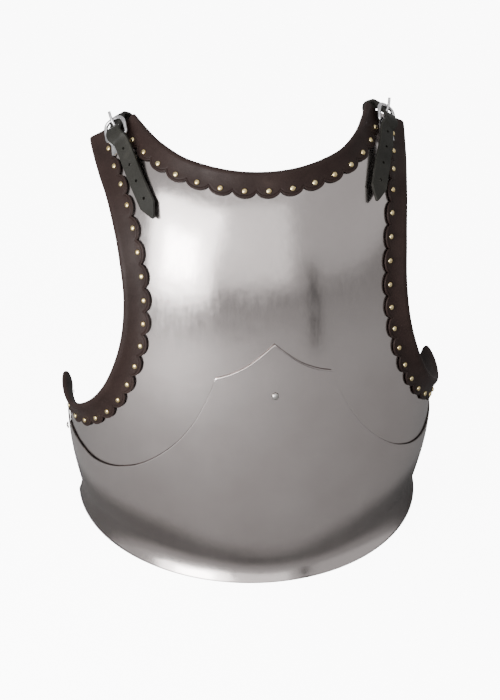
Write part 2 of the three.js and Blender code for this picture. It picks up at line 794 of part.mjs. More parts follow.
// Folded sheet with an eye around the hinge bar, a slot for the prong and a low rivet head.
function bucklePlate() {
  const { width, length, thick, lift, eye, eyeTurn, run, hole, slot } = PLATE;
  const bar = new THREE.Vector2(BUCKLE.hingeAlong, BUCKLE.hingeLift);
  const profile = new THREE.Shape();
  profile.moveTo(bar.x - length, lift);
  profile.lineTo(bar.x, lift);
  profile.absarc(bar.x, bar.y, eye, -Math.PI / 2, radians(eyeTurn), false);
  profile.lineTo(bar.x - eye - run, lift + thick);
  profile.lineTo(bar.x - length, lift + thick);
  profile.closePath();
  const eyeHole = new THREE.Path();
  eyeHole.absarc(bar.x, bar.y, hole, 0, 2 * Math.PI, true);
  profile.holes.push(eyeHole);
  const sheet = new THREE.ExtrudeGeometry(profile, { depth: width, bevelEnabled: false, curveSegments: 3 });
  sheet.translate(0, 0, -width / 2);
  sheet.applyMatrix4(seatMatrix());
  const gap = new THREE.BoxGeometry(3 * eye, 4 * eye, slot);
  gap.translate(bar.x, bar.y, 0);
  gap.applyMatrix4(seatMatrix());
  const { radius, top, height, shoulder, sunk, sides } = PLATE_RIVET;
  const head = turned(
    [[0, -sunk], [radius, -sunk], [radius, shoulder], [top, height], [0, height]],
    sides,
    atSeat(0, bar.x - PLATE_RIVET.back, lift + thick),
    seat.normal,
  );
  return fromSolid(toSolid(sheet).subtract(toSolid(gap)).add(toSolid(head)));
}

// Stations of the strap from where its point begins to its hidden square end. A roll lifts the outer edge.
function strapStations(tail) {
  const stations = tail.map(({ level, angle, lift, roll }) => {
    const { byAngle } = torsoFrame(level, angle);
    return { centre: onTorso(level, angle, lift), across: byAngle.normalize(), roll: radians(roll) };
  });
  const endRoll = stations.at(-1).roll;
  STRAP_OVER.forEach((place, i) => {
    const roll = i === 0 ? endRoll / 2 : 0;
    stations.push({ centre: atSeat(...place), across: seatAcross.clone(), roll });
  });
  const edge = stations.at(-1).centre;
  for (const drop of STRAP_DROP) {
    const centre = edge.clone();
    centre.z -= drop;
    stations.push({ centre, across: seatAcross.clone(), roll: 0 });
  }
  const curve = new THREE.CatmullRomCurve3(stations.map((station) => station.centre));
  stations.forEach((station, i) => {
    const along = curve.getTangent(i / (stations.length - 1));
    station.along = along;
    station.across.addScaledVector(along, -station.across.dot(along)).normalize();
    station.across.applyAxisAngle(along, -station.roll);
    station.outward = station.across.clone().cross(along).normalize();
    station.width = STRAP.width;
  });
  return stations;
}

const STRAP_CORNERS = [[-1, 1], [1, 1], [1, -1], [-1, -1]];

function strap(tail) {
  const stations = strapStations(tail);
  const first = stations[0];
  const tip = {
    ...first,
    centre: first.centre.clone().addScaledVector(first.along, -STRAP.tip),
    width: STRAP.tipWidth,
  };
  const all = [tip, ...stations];
  const corner = (station, side, face) =>
    station.centre
      .clone()
      .addScaledVector(station.across, (side * station.width) / 2)
      .addScaledVector(station.outward, (face * STRAP.thick) / 2);
  const rings = all.map((station) => STRAP_CORNERS.map(([side, face]) => corner(station, side, face)));
  const outline = STRAP_CORNERS.map(([x, y]) => new THREE.Vector2(x, y));
  const path = new THREE.CatmullRomCurve3(stations.map((station) => station.centre));
  const length = path.getLength();
  const holes = [];
  for (let k = 0; k < STRAP_HOLES.count; k++) {
    const share = (STRAP_HOLES.first + k * STRAP_HOLES.gap) / length;
    const { outward } = stations[Math.round(path.getUtoTmapping(share) * (stations.length - 1))];
    holes.push(punch(path.getPointAt(share), outward, STRAP_HOLES.radius, STRAP_HOLES.reach));
  }
  const curve = prongCurve();
  const radius = PRONG.radius + PRONG.clearance;
  holes.push(punch(curve.getPoint(PRONG.pierce), curve.getTangent(PRONG.pierce), radius, PRONG.reach));
  return cutBy(sweep(rings, outline), holes);
}

// ---------------------------------------------------------------- assembly
const group = new THREE.Group();

function addPiece(name, geometry, color, roughness, metalness) {
  const mesh = new THREE.Mesh(geometry, new THREE.MeshStandardMaterial({ color, roughness, metalness }));
  mesh.name = name;
  group.add(mesh);
}

addPiece('breastplate', breastplate(), STEEL_COLOUR, 0.3, 1);
addPiece('plackart', plackart(), STEEL_COLOUR, 0.3, 1);
addPiece('neck_trim', neckTrim(), LEATHER_COLOUR, 0.6, 0);
const armTrimGeometry = armTrim();
addPiece('arm_trim_right', armTrimGeometry, LEATHER_COLOUR, 0.6, 0);
addPiece('arm_trim_left', mirrored(armTrimGeometry), LEATHER_COLOUR, 0.6, 0);
addPiece('plackart_rivet_centre', steelRivet(CENTRE_RIVET), STEEL_COLOUR, 0.3, 1);
const sideRivet = steelRivet(SIDE_RIVET);
addPiece('plackart_rivet_right', sideRivet, STEEL_COLOUR, 0.3, 1);
addPiece('plackart_rivet_left', mirrored(sideRivet), STEEL_COLOUR, 0.3, 1);

const shoulderPieces = [
  ['buckle_frame', buckleFrame(), NICKEL_COLOUR, 0.25, 1],
  ['buckle_prong', prong(), NICKEL_COLOUR, 0.25, 1],
  ['buckle_plate', bucklePlate(), NICKEL_COLOUR, 0.3, 1],
];
for (const [name, geometry, ...finish] of shoulderPieces) {
  addPiece(`${name}_right`, geometry, ...finish);
  addPiece(`${name}_left`, mirrored(mergeVertices(bareCopy(geometry), 1e-4)), ...finish);
}
addPiece('strap_right', strap(RIGHT_TAIL), STRAP_COLOUR, 0.5, 0);
addPiece('strap_left', mirrored(strap(LEFT_TAIL)), STRAP_COLOUR, 0.5, 0);

group.position.y = -CENTRE_BACK;
export default group;
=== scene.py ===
"""Dresses the steel cuirass breastplate: fine plates, tooled leather trims, brass rivets, buckles and straps.

The frame gives the places. Sizes are in millimetres, as the part's own are, and become metres when a mesh
is made. Front is towards -Y, and the rim of the lower flange stands on the floor at z = 0.
"""
import math

import bpy
import numpy as np
from mathutils import Matrix, Vector


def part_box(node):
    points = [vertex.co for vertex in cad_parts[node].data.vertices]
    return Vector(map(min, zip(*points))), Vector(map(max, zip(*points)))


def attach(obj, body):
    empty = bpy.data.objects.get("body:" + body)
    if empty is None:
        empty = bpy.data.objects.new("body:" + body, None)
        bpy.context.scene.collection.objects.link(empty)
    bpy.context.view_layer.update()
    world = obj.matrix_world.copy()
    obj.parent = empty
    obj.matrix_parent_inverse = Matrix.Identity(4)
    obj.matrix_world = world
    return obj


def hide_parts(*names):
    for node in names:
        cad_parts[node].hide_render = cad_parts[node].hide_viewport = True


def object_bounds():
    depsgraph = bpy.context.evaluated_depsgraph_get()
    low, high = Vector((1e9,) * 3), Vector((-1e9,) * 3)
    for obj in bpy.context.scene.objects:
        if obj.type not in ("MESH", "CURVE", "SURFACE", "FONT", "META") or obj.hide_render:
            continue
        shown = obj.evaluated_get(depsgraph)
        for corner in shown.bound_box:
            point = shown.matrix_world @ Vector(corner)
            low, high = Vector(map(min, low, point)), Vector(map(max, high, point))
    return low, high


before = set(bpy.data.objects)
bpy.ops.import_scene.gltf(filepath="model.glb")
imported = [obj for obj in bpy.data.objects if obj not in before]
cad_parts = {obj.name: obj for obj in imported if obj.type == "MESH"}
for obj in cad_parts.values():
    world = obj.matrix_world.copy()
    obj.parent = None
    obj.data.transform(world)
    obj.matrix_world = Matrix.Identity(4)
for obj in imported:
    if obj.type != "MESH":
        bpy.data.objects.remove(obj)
cad_box = [list(corner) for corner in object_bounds()]
MM = 0.001

# ------------------------------------------------------------------ driving sizes, as in the part
STEEL = 1.6
LEATHER = 2.0
LEATHER_GAP = 0.85
FIT_GAP = 0.3
LAP_GAP = 0.6
PLACKART_LIFT = LAP_GAP + STEEL
SIDE_ANGLE = 94.0

# Torso sections upwards from the flange crease: height, front, lean, half width, depth, squareness.
SECTIONS = np.array([
    (26, -10, -2.5, 190, 185, -0.020),
    (88, -11, 0, 200, 175, -0.006),
    (150, -8, 0, 201, 169, 0.004),
    (214, -5, 0, 195, 168, 0.011),
    (270, 0, 1, 186, 170, 0.015),
    (328, 8, 9, 179, 173, 0.018),
    (383, 23, 25, 175, 178, 0.020),
    (431, 49, 45, 175, 185, 0.021),
    (467, 90, 64, 179, 194, 0.022),
    (493, 146, 82, 188, 204, 0.023),
    (519, 202, 100, 197, 214, 0.024),
], dtype=float)

# Edges as (level, angle): level counts sections, angle is in degrees from the front seam.
NECK_EDGE = [(6.98, 0), (7.04, 8.9), (7.23, 17.4), (7.54, 24.9), (8.03, 30.9), (8.54, 34.4), (9.03, 36.8)]
ARM_EDGE = [
    (9.5, 52), (8.6, 52.3), (8, 52.2), (6.8, 50.5), (5.7, 47.7), (4.7, 45.3),
    (3.78, 46.4), (2.96, 51.9), (2.41, 61.4), (2.11, 74.9), (2.2, 93.5),
]
WHOLE_NECK = [(level, -angle) for level, angle in reversed(NECK_EDGE[1:])] + NECK_EDGE
PLATE_BOTTOM = 1.0
PEAK_EDGE = [(4.04, 0), (3.78, 5), (3.63, 8.5), (3.5, 13), (3.425, 17.1)]
FLANK_EDGE = [
    (3.425, 17.1), (3.05, 19.3), (2.62, 23), (2.24, 28), (1.91, 34.3), (1.64, 41.4),
    (1.47, 48), (1.34, 55.5), (1.29, 64.5), (1.38, 75), (1.55, SIDE_ANGLE),
]
RIM = {"front": -19.0, "half": 194.5, "depth": 213.0, "hollow": 2.5, "turn_in": 60.0, "shorten": 0.09}

FLARE_WIDTH = 15.0
NECK_TRIM = {"flare": 4.0, "end_flare": 3.0, "rivets": 15}
ARM_TRIM = {"flare": 7.5, "end_flare": 3.5, "rivets": 19}
BAND = {"rivet_line": 14.0, "cusp": 15.2, "crest": 21.0, "round": 0.86, "inside": 18.0, "end": 18.0}
TRIM_LEAD = 0.5
BRASS = {"radius": 2.8, "height": 1.7, "tail_radius": 2.1, "tail_height": 0.8, "turn": 0.7}
DOME = {"radius": 3.7, "height": 2.2, "tail_radius": 3.3, "tail_height": 1.2, "tail_gap": 1.0}
CENTRE_RIVET = (3.08, 0.0)
SIDE_RIVET = (1.32, 88.0)

# The buckle's seat on the shoulder, turned from the way up the torso towards the neck.
SEAT = {"level": 8.72, "angle": 42.8, "turn": 12.0}
BUCKLE = {"wire": 2.0, "hinge_along": 1.0, "hinge_lift": 8.4, "bar_lift": 11.5, "length": 20.0}
# Half of the frame's ring: across, and share of its length from the hinge bar.
BUCKLE_HALF = [(0, 0), (5, 0), (10.4, 0), (12, 0.06), (12.2, 0.3), (12, 0.58), (9.8, 0.86), (5, 0.98), (0, 1)]
CLIP = {"width": 18.6, "length": 17.0, "thick": 2.2, "lift": 5.0, "leaf": 0.8, "eye": 3.6, "slot": 4.2}
CLIP_THROAT = {"outside": 1.6, "inside": 1.2, "tuck": 1.0}
CLIP_RIVET = {"radius": 3.2, "height": 1.0, "from_end": 6.5}
PRONG = {"radius": 1.5, "pierce": 0.673, "clearance": 0.9}
PRONG_PATH = [  # (along, lift) at the shoulder seat
    (1, 4.6), (-2.2, 5.9), (-3.1, 8.6), (-1.4, 11.4), (1.8, 12.1), (5, 11), (8, 8.9),
    (10.5, 7.7), (13, 8.6), (15.5, 11.3), (18.5, 14), (21.5, 15.4), (24.5, 16.5), (27.5, 17.4),
]
STRAP = {"width": 17.0, "thick": 3.0, "tip": 15.0, "tip_width": 2.2, "tip_power": 0.92}
STRAP_EDGE = {"ease": 0.55, "crown": 0.18, "bulge": 0.05, "shoulder": 0.2, "back": 0.3}
STRAP_HOLES = {"count": 4, "first": 8.0, "gap": 20.0, "radius": 1.5, "punch": 7.0}
# A strap's way at the shoulder seat as (across, along, lift), its hidden drop inside, and the hanging ends as
# (level, angle, lift, roll in degrees).
STRAP_OVER = [
    (-8, -11, 12), (-5, -5, 14.4), (-1.6, 1, 15.5), (-1, 8, 13.8), (-0.8, 13, 10),
    (-0.4, 17, 7.3), (0, 22, 5.9), (0, 26, 5.2), (0, 29.5, 3.4), (0, 31.4, -1), (0, 32.2, -8),
]
STRAP_DROP = [8, 24, 42, 60]
LEFT_TAIL = [(6.78, 37.5, 5, 0), (7.2, 39.4, 5, 0), (7.65, 40.7, 6, 0), (8.05, 41, 8.5, 0)]
RIGHT_TAIL = [(6.88, 37, 6.5, 14), (7.25, 38.4, 7, 14), (7.7, 40, 8, 12), (8.05, 40.9, 10, 8)]

# The tooled border of the leather bands, from the cut edge inwards: distance from the edge, rise of the face.
BORDER = [
    (0, -0.75), (0.12, -0.35), (0.4, -0.1), (0.8, 0), (1.9, 0.05),
    (2.25, -0.05), (2.7, -0.45), (3.15, -0.05), (3.65, 0.08), (5.1, 0.18),
]
# The rest of the band's section: shares of the outer leg, stops along the inner leg, and their small eases.
FACE_SHARES = (0.8, 0.6, 0.42, 0.26, 0.12, 0.0)
FACE_CROWN = 0.22
INSIDE_STOPS = (0, 3, 6, 9.5, 13.5)
INSIDE_EASE = {"back": 0.5, "front": 0.3}
UNDER_SHARES = (0.0, 0.15, 0.35, 0.6, 0.8, 0.93)
LIP = {"inside": 0.25, "rise": 0.1}

# Fineness: samples along curves, points handled at a time, steps of the grids, widths of the small bevels.
SAMPLES = {"edge": 1601, "flare": 161, "level": 801, "route": 1200}
CHUNK = 4000
SHOULDER_COLUMN, FLANK_COLUMN, BAND_COLUMN, PLATE_BAND = 0.64, 0.72, 0.8, 25.0
PLATE_COLUMNS = [(0, 0), (SHOULDER_COLUMN, 56), (FLANK_COLUMN, 8), (BAND_COLUMN, 8), (1, 17)]
PLATE_ROWS = [(0, 0), (0.9, 110), (1, 19)]
PLACKART_STEPS = {"peak": 24, "flank": 80, "spread": 1.15, "flange": 12, "wall": 96}
PER_SCALLOP = 28
STRAP_RINGS = 150
TIP_STOPS = (0, 0.25, 0.8, 2, 4, 6.5, 9, 11.5, 13.5)
PLATE_EASE, PRONG_EASE, CLIP_EASE = 0.65, 0.4, 0.25
EASED_ANGLE = 50

# The front of the rim is the foremost place of the plackart, which sets the torso's place in the frame.
SEAM_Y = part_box("plackart")[0][1] / MM - RIM["front"]


# ------------------------------------------------------------------ torso surface
def section_values(level):
    """Uniform cubic spline through the section table, carried on straight past both ends."""
    table = np.vstack([2 * SECTIONS[0] - SECTIONS[1], SECTIONS, 2 * SECTIONS[-1] - SECTIONS[-2]])
    first = np.clip(np.floor(level).astype(int), 0, len(SECTIONS) - 2)
    u = (level - first)[:, None]
    weights = [(1 - u) ** 3, 3 * u**3 - 6 * u**2 + 4, -3 * u**3 + 3 * u**2 + 3 * u + 1, u**3]
    return sum(weight * table[first + k] for k, weight in enumerate(weights)) / 6


def torso_point(level, angle):
    height, front, lean, half, depth, square = section_values(level).T
    a = np.radians(angle)
    across = (np.sin(a) + square * np.sin(3 * a)) / (1 - square)
    back = depth * (1 - (np.cos(a) - square * np.cos(3 * a)) / (1 - square))
    lean = np.radians(lean)
    y = SEAM_Y + front + back * np.cos(lean)
    return np.stack([half * across, y, height - back * np.sin(lean)], axis=1)


def unit(vectors):
    return vectors / np.linalg.norm(vectors, axis=-1, keepdims=True)


def torso_frame(level, angle):
    """Point, surface steps by level and by degree, and outward normal, for arrays of places."""
    level = np.asarray(level, dtype=float).ravel()
    angle = np.asarray(angle, dtype=float).ravel()
    probe = 1e-3
    by_level = (torso_point(level + probe, angle) - torso_point(level - probe, angle)) / (2 * probe)
    by_angle = (torso_point(level, angle + probe) - torso_point(level, angle - probe)) / (2 * probe)
    return torso_point(level, angle), by_level, by_angle, unit(np.cross(by_angle, by_level))


def on_torso(level, angle, lift):
    point, _, _, normal = torso_frame(level, angle)
    return point + normal * np.reshape(lift, (-1, 1))


# ------------------------------------------------------------------ edges
def spline(points, t):
    """Catmull-Rom curve through rows of points at shares t, with its tangent."""
    points = np.asarray(points, dtype=float)
    last = len(points) - 1
    place = np.clip(t, 0, 1) * last
    i = np.minimum(np.floor(place).astype(int), last - 1)
    w = (place - i)[:, None]
    p0, p1 = points[np.maximum(i - 1, 0)], points[i]
    p2, p3 = points[i + 1], points[np.minimum(i + 2, last)]
    v0, v1 = (p2 - p0) / 2, (p3 - p1) / 2
    a, b = 2 * p1 - 2 * p2 + v0 + v1, -3 * p1 + 3 * p2 - 2 * v0 - v1
    return a * w**3 + b * w**2 + v0 * w + p1, 3 * a * w**2 + 2 * b * w + v0


def edge_sites(edge, t):
    """Places on an edge at spline shares t, each with the step in level and angle for 1 mm inwards."""
    site, tangent = spline(edge, t)
    _, by_level, by_angle, normal = torso_frame(site[:, 0], site[:, 1])
    along = by_angle * tangent[:, 1:] + by_level * tangent[:, :1]
    inward = -unit(np.cross(normal, along))
    aa, ab, bb = (by_angle**2).sum(1), (by_angle * by_level).sum(1), (by_level**2).sum(1)
    ia, ib = (inward * by_angle).sum(1), (inward * by_level).sum(1)
    step = np.stack([ib * aa - ia * ab, ia * bb - ib * ab], axis=1) / (aa * bb - ab * ab)[:, None]
    return site, step


def stations(edge, shares):
    """Places at shares of an edge's length, which is measured along the line of the rivets."""
    t = np.linspace(0, 1, SAMPLES["edge"])
    site, step = edge_sites(edge, t)
    line = site + step * BAND["rivet_line"]
    paces = np.linalg.norm(np.diff(torso_point(line[:, 0], line[:, 1]), axis=0), axis=1)
    length = np.concatenate([[0], np.cumsum(paces)])
    shares = np.asarray(shares, dtype=float)
    site, step = edge_sites(edge, np.interp(shares * length[-1], length, t))
    return {"share": shares, "site": site, "step": step, "length": length[-1]}


def flare_height(trim, share):
    bell = np.sqrt(np.maximum(np.sin(math.pi * np.clip(share, 0, 1)), 0))
    return trim["end_flare"] + (trim["flare"] - trim["end_flare"]) * bell


def band_points(run, trim, s, lift):
    """Points of a band that rides on the turned-out edge: s mm inwards from it, lift mm off the steel."""
    flare = flare_height(trim, run["share"])[:, None]
    rest = np.maximum(0, 1 - s / FLARE_WIDTH)
    slope = -2 * flare * rest / FLARE_WIDTH
    stretch = np.hypot(1, slope)
    across = s - lift * slope / stretch
    up = flare * rest**2 + lift / stretch
    sites = run["site"][:, None, :] + run["step"][:, None, :] * across[..., None]
    points = on_torso(sites[..., 0], sites[..., 1], up.ravel())
    return points.reshape(*across.shape, 3)


# ------------------------------------------------------------------ making meshes
def mesh_piece(name, points, faces, uv=None):
    mesh = bpy.data.meshes.new(name)
    mesh.from_pydata((np.asarray(points) * MM).tolist(), [], faces)
    mesh.update()
    piece = bpy.data.objects.new(name, mesh)
    bpy.context.collection.objects.link(piece)
    if uv is not None:
        layer = mesh.uv_layers.new(name="surface")
        corners = np.empty(len(mesh.loops), dtype=np.int32)
        mesh.loops.foreach_get("vertex_index", corners)
        layer.data.foreach_set("uv", np.asarray(uv, dtype=float)[corners].ravel())
    return piece


def grid_faces(rows, columns, closed=False):
    faces = []
    for row in range(0, (rows - 1) * columns, columns):
        for c in range(columns if closed else columns - 1):
            beside = (c + 1) % columns
            faces.append((row + c, row + beside, row + columns + beside, row + columns + c))
    return faces


def tube_faces(rows, columns):
    """Faces of closed rings, with a flat cap on the first and the last ring."""
    first = tuple(range(columns))[::-1]
    last = tuple((rows - 1) * columns + c for c in range(columns))
    return grid_faces(rows, columns, closed=True) + [first, last]


def only(piece):
    bpy.ops.object.select_all(action="DESELECT")
    piece.select_set(True)
    bpy.context.view_layer.objects.active = piece


def outward(piece):
    only(piece)
    bpy.ops.object.mode_set(mode="EDIT")
    bpy.ops.mesh.select_all(action="SELECT")
    bpy.ops.mesh.normals_make_consistent(inside=False)
    bpy.ops.object.mode_set(mode="OBJECT")


def apply_modifier(piece, kind, **settings):
    only(piece)
    modifier = piece.modifiers.new(kind.lower(), kind)
    for key, value in settings.items():
        setattr(modifier, key, value)
    bpy.ops.object.modifier_apply(modifier=modifier.name)


def ease(piece, width, segments, **settings):
    """Small bevels along a piece's sharp edges."""
    limit = math.radians(EASED_ANGLE)
    bevel = {"width": width * MM, "segments": segments, "limit_method": "ANGLE", "angle_limit": limit}
    apply_modifier(piece, "BEVEL", **bevel, **settings)


def cut(piece, tool):
    apply_modifier(piece, "BOOLEAN", object=tool, operation="DIFFERENCE", solver="EXACT")
    bpy.data.objects.remove(tool)


def smooth(piece, angle):
    only(piece)
    bpy.ops.object.shade_smooth_by_angle(angle=math.radians(angle))


def mirrored(piece, name):
    """A copy on the other side of the middle plane, with its own mesh."""
    twin = piece.copy()
    twin.data = piece.data.copy()
    twin.name = name
    bpy.context.collection.objects.link(twin)
    twin.data.transform(Matrix.Scale(-1, 4, (1, 0, 0)))
    twin.data.flip_normals()
    return twin


def joined(name, pieces):
    bpy.ops.object.select_all(action="DESELECT")
    for piece in pieces:
        piece.select_set(True)
    bpy.context.view_layer.objects.active = pieces[0]
    bpy.ops.object.join()
    pieces[0].name = name
    return pieces[0]


def finish_piece(piece, materials, nodes):
    """Gives a piece its materials and the part's nodes that it stands for."""
    for material in materials:
        piece.data.materials.append(material)
    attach(piece, "root")
    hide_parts(*nodes)


# ------------------------------------------------------------------ steel plates
def flare_lift(points, edge, trim, share_of):
    """Rise of the turned-out edge at each point, from its distance to the line of the edge."""
    run = stations(edge, np.linspace(0, 1, SAMPLES["flare"]))
    line = torso_point(run["site"][:, 0], run["site"][:, 1])
    flare = flare_height(trim, share_of(run["share"]))
    start, step = line[:-1], np.diff(line, axis=0)
    lift = np.zeros(len(points))
    for k in range(0, len(points), CHUNK):
        part = points[k : k + CHUNK, None, :]
        along = np.clip(((part - start) * step).sum(2) / (step * step).sum(1), 0, 1)
        distance = np.linalg.norm(start + along[..., None] * step - part, axis=2)
        near = distance.argmin(1)
        rows = np.arange(len(near))
        height = flare[near] + (flare[near + 1] - flare[near]) * along[rows, near]
        rest = np.maximum(0, 1 - distance[rows, near] / FLARE_WIDTH)
        lift[k : k + CHUNK] = height * rest**2
    return lift


def stepped(stops):
    """Numbers from stop to stop, each stop given with the count of even steps that lead to it."""
    runs = [np.linspace(start, end, steps + 1)[1:] for (start, _), (end, steps) in zip(stops, stops[1:])]
    return np.concatenate([[stops[0][0]], *runs])


def breastplate_sites(columns, rows):
    """Levels and angles of the right half's grid, its last stretch laid evenly beside the arm edge."""
    arm = stations(ARM_EDGE, 1 - rows)

    def beside_arm(s):
        return arm["site"] + arm["step"] * s

    def neck(share):
        return spline(NECK_EDGE, np.array([share]))[0][0]

    corner = np.array([PLATE_BOTTOM, SIDE_ANGLE])
    inner = beside_arm(PLATE_BAND)

    def bottom(u):
        if u <= FLANK_COLUMN:
            return np.array([PLATE_BOTTOM, SIDE_ANGLE * u / FLANK_COLUMN])
        return corner + (inner[0] - corner) * (u - FLANK_COLUMN) / (BAND_COLUMN - FLANK_COLUMN)

    def top(u):
        if u <= SHOULDER_COLUMN:
            return neck(u / SHOULDER_COLUMN)
        return neck(1) + (inner[-1] - neck(1)) * (u - SHOULDER_COLUMN) / (BAND_COLUMN - SHOULDER_COLUMN)

    v = rows[:, None]
    seam = bottom(0) + (top(0) - bottom(0)) * v
    grid = []
    for u in columns:
        if u > BAND_COLUMN:
            grid.append(beside_arm(PLATE_BAND * (1 - u) / (1 - BAND_COLUMN)))
            continue
        across = u / BAND_COLUMN
        low_bow = bottom(u) - (bottom(0) + (inner[0] - bottom(0)) * across)
        high_bow = top(u) - (top(0) + (inner[-1] - top(0)) * across)
        grid.append(seam + (inner - seam) * across + low_bow * (1 - v) ** 3 + high_bow * v)
    return np.stack(grid, axis=1)


def grid_normals(grid):
    return unit(np.cross(np.gradient(grid, axis=1), np.gradient(grid, axis=0)))


def plate_from_halves(name, right, level_rim=False):
    """A plate from its right half's grid of outer points, mirrored, thickened inwards and eased at its edges.

    The walls between the two faces and their bevels take the second material, a much darker steel that paints
    the shade of the seam lines.
    """
    left = right[:, :0:-1] * np.array([-1, 1, 1])
    outer = np.concatenate([left, right], axis=1)
    inner = outer - grid_normals(outer) * STEEL
    if level_rim:
        inner[0, :, 2] = 0
    rows, columns = outer.shape[:2]
    count = rows * columns
    outside = grid_faces(rows, columns)
    faces = outside + [tuple(corner + count for corner in face[::-1]) for face in outside]
    border = list(range(columns))
    border += [r * columns + columns - 1 for r in range(1, rows)]
    border += [(rows - 1) * columns + c for c in range(columns - 2, -1, -1)]
    border += [r * columns for r in range(rows - 2, 0, -1)]
    faces += [(b, a, a + count, b + count) for a, b in zip(border, border[1:] + border[:1])]
    plate = mesh_piece(name, np.concatenate([outer.reshape(-1, 3), inner.reshape(-1, 3)]), faces)
    for wall in plate.data.polygons[2 * len(outside) :]:
        wall.material_index = 1
    ease(plate, PLATE_EASE, 2, material=1)
    smooth(plate, 35)
    return plate


def make_breastplate():
    sites = breastplate_sites(stepped(PLATE_COLUMNS), stepped(PLATE_ROWS))
    flat = sites.reshape(-1, 2)
    point, _, _, normal = torso_frame(flat[:, 0], flat[:, 1])
    # The half of the neck edge is the second half of the whole neck band, whose shares set the flare.
    lift = flare_lift(point, NECK_EDGE, NECK_TRIM, lambda share: 0.5 + share / 2)
    lift += flare_lift(point, ARM_EDGE, ARM_TRIM, lambda share: share)
    right = (point + normal * lift[:, None]).reshape(*sites.shape[:2], 3)
    return plate_from_halves("breastplate_steel", right)


def level_on(edge, angles):
    line, _ = spline(edge, np.linspace(0, 1, SAMPLES["level"]))
    return np.interp(angles, line[:, 1], line[:, 0])


def plackart_top(angles):
    cusp = PEAK_EDGE[-1][1]
    return np.where(angles <= cusp, level_on(PEAK_EDGE, angles), level_on(FLANK_EDGE, angles))


def make_plackart():
    cusp = PEAK_EDGE[-1][1]
    steps = PLACKART_STEPS
    flank = np.linspace(0, 1, steps["flank"] + 1)[1:] ** steps["spread"]
    angles = np.concatenate([np.linspace(0, cusp, steps["peak"] + 1), cusp + (SIDE_ANGLE - cusp) * flank])
    crease = on_torso(np.zeros_like(angles), angles, PLACKART_LIFT)
    beyond = np.maximum(0, angles - RIM["turn_in"])
    a = np.radians(angles - beyond * RIM["shorten"])
    rim_y = SEAM_Y + RIM["front"] + RIM["depth"] * (1 - np.cos(a))
    rim = np.stack([RIM["half"] * np.sin(a), rim_y, np.zeros_like(a)], axis=1)
    outside = np.stack([np.sin(a), -np.cos(a), np.zeros_like(a)], axis=1)
    rows = []
    for share in np.linspace(0, 1, steps["flange"] + 1)[:-1]:
        rows.append(rim + (crease - rim) * share - outside * RIM["hollow"] * 4 * share * (1 - share))
    top = plackart_top(angles)
    for share in np.linspace(0, 1, steps["wall"] + 1):
        rows.append(on_torso(top * share, angles, PLACKART_LIFT))
    return plate_from_halves("plackart_steel", np.stack(rows), level_rim=True)


# ------------------------------------------------------------------ leather trims
def scallop_width(phase):
    """Outer leg of the band from cusp to cusp, phase 0 to 1."""
    crown = np.sqrt(np.maximum(0, 1 - (2 * phase - 1) ** 2 * BAND["round"]))
    low = math.sqrt(1 - BAND["round"])
    return BAND["cusp"] + (BAND["crest"] - BAND["cusp"]) * (crown - low) / (1 - low)


def fold(middle, radius, first, last, steps):
    """Places between two angles of a round fold, without its ends, as (s, lift) pairs."""
    turns = np.radians(np.linspace(first, last, steps + 1)[1:-1])
    return [(radius * math.cos(turn), middle + radius * math.sin(turn)) for turn in turns]


def band_outline(width):
    """Cross-section of the folded leather as columns of s and lift, one row a station."""
    middle = -STEEL / 2
    inner_r = STEEL / 2 + LEATHER_GAP
    outer_r = inner_r + LEATHER
    top, under, inside = middle + outer_r, middle - outer_r, BAND["inside"]
    last = width - BORDER[-1][0]
    outline = [(width - from_edge, top + rise) for from_edge, rise in BORDER]
    outline += [(last * share, top + FACE_CROWN * math.sin(math.pi * share)) for share in FACE_SHARES]
    outline += fold(middle, outer_r, 90, 270, 10)
    outline += [(place, under) for place in (*INSIDE_STOPS, inside - INSIDE_EASE["back"])]
    outline += [(inside, under + INSIDE_EASE["back"]), (inside, under + LEATHER - INSIDE_EASE["front"])]
    outline += [(place, under + LEATHER) for place in reversed(INSIDE_STOPS)]
    outline += fold(middle, inner_r, 270, 90, 6)
    outline += [(width * share, middle + inner_r) for share in UNDER_SHARES]
    outline.append((width - LIP["inside"], middle + inner_r + LIP["rise"]))
    return [np.stack([values + 0 * width for values in column], axis=1) for column in zip(*outline)]


def make_trim(name, edge, trim, plain_ends):
    """A band along an edge, and the places of its rivets. plain_ends counts its ends without a scallop."""
    pitches = trim["rivets"] + TRIM_LEAD * plain_ends
    lead = np.linspace(0, TRIM_LEAD, PER_SCALLOP // 2 + 1)[:-1]
    run_at = np.arange(trim["rivets"] * PER_SCALLOP + 1) / PER_SCALLOP
    phase = run_at % 1
    at = np.concatenate([lead, TRIM_LEAD + run_at])
    width = np.concatenate([np.full_like(lead, BAND["end"]), scallop_width(phase)])
    if plain_ends == 2:
        at = np.concatenate([at, pitches - lead[::-1]])
        width = np.concatenate([width, np.full_like(lead, BAND["end"])])
    run = stations(edge, np.minimum(at / pitches, 1))
    s, lift = band_outline(width)
    rings = band_points(run, trim, s, lift)
    rows, columns = s.shape
    uv = np.stack([np.repeat(at * run["length"] / pitches, columns), s.ravel()], axis=1) * MM
    band = mesh_piece(name, rings.reshape(-1, 3), tube_faces(rows, columns), uv)
    outward(band)
    smooth(band, 50)
    rivets = stations(edge, (TRIM_LEAD + np.arange(trim["rivets"]) + 0.5) / pitches)
    return band, rivets


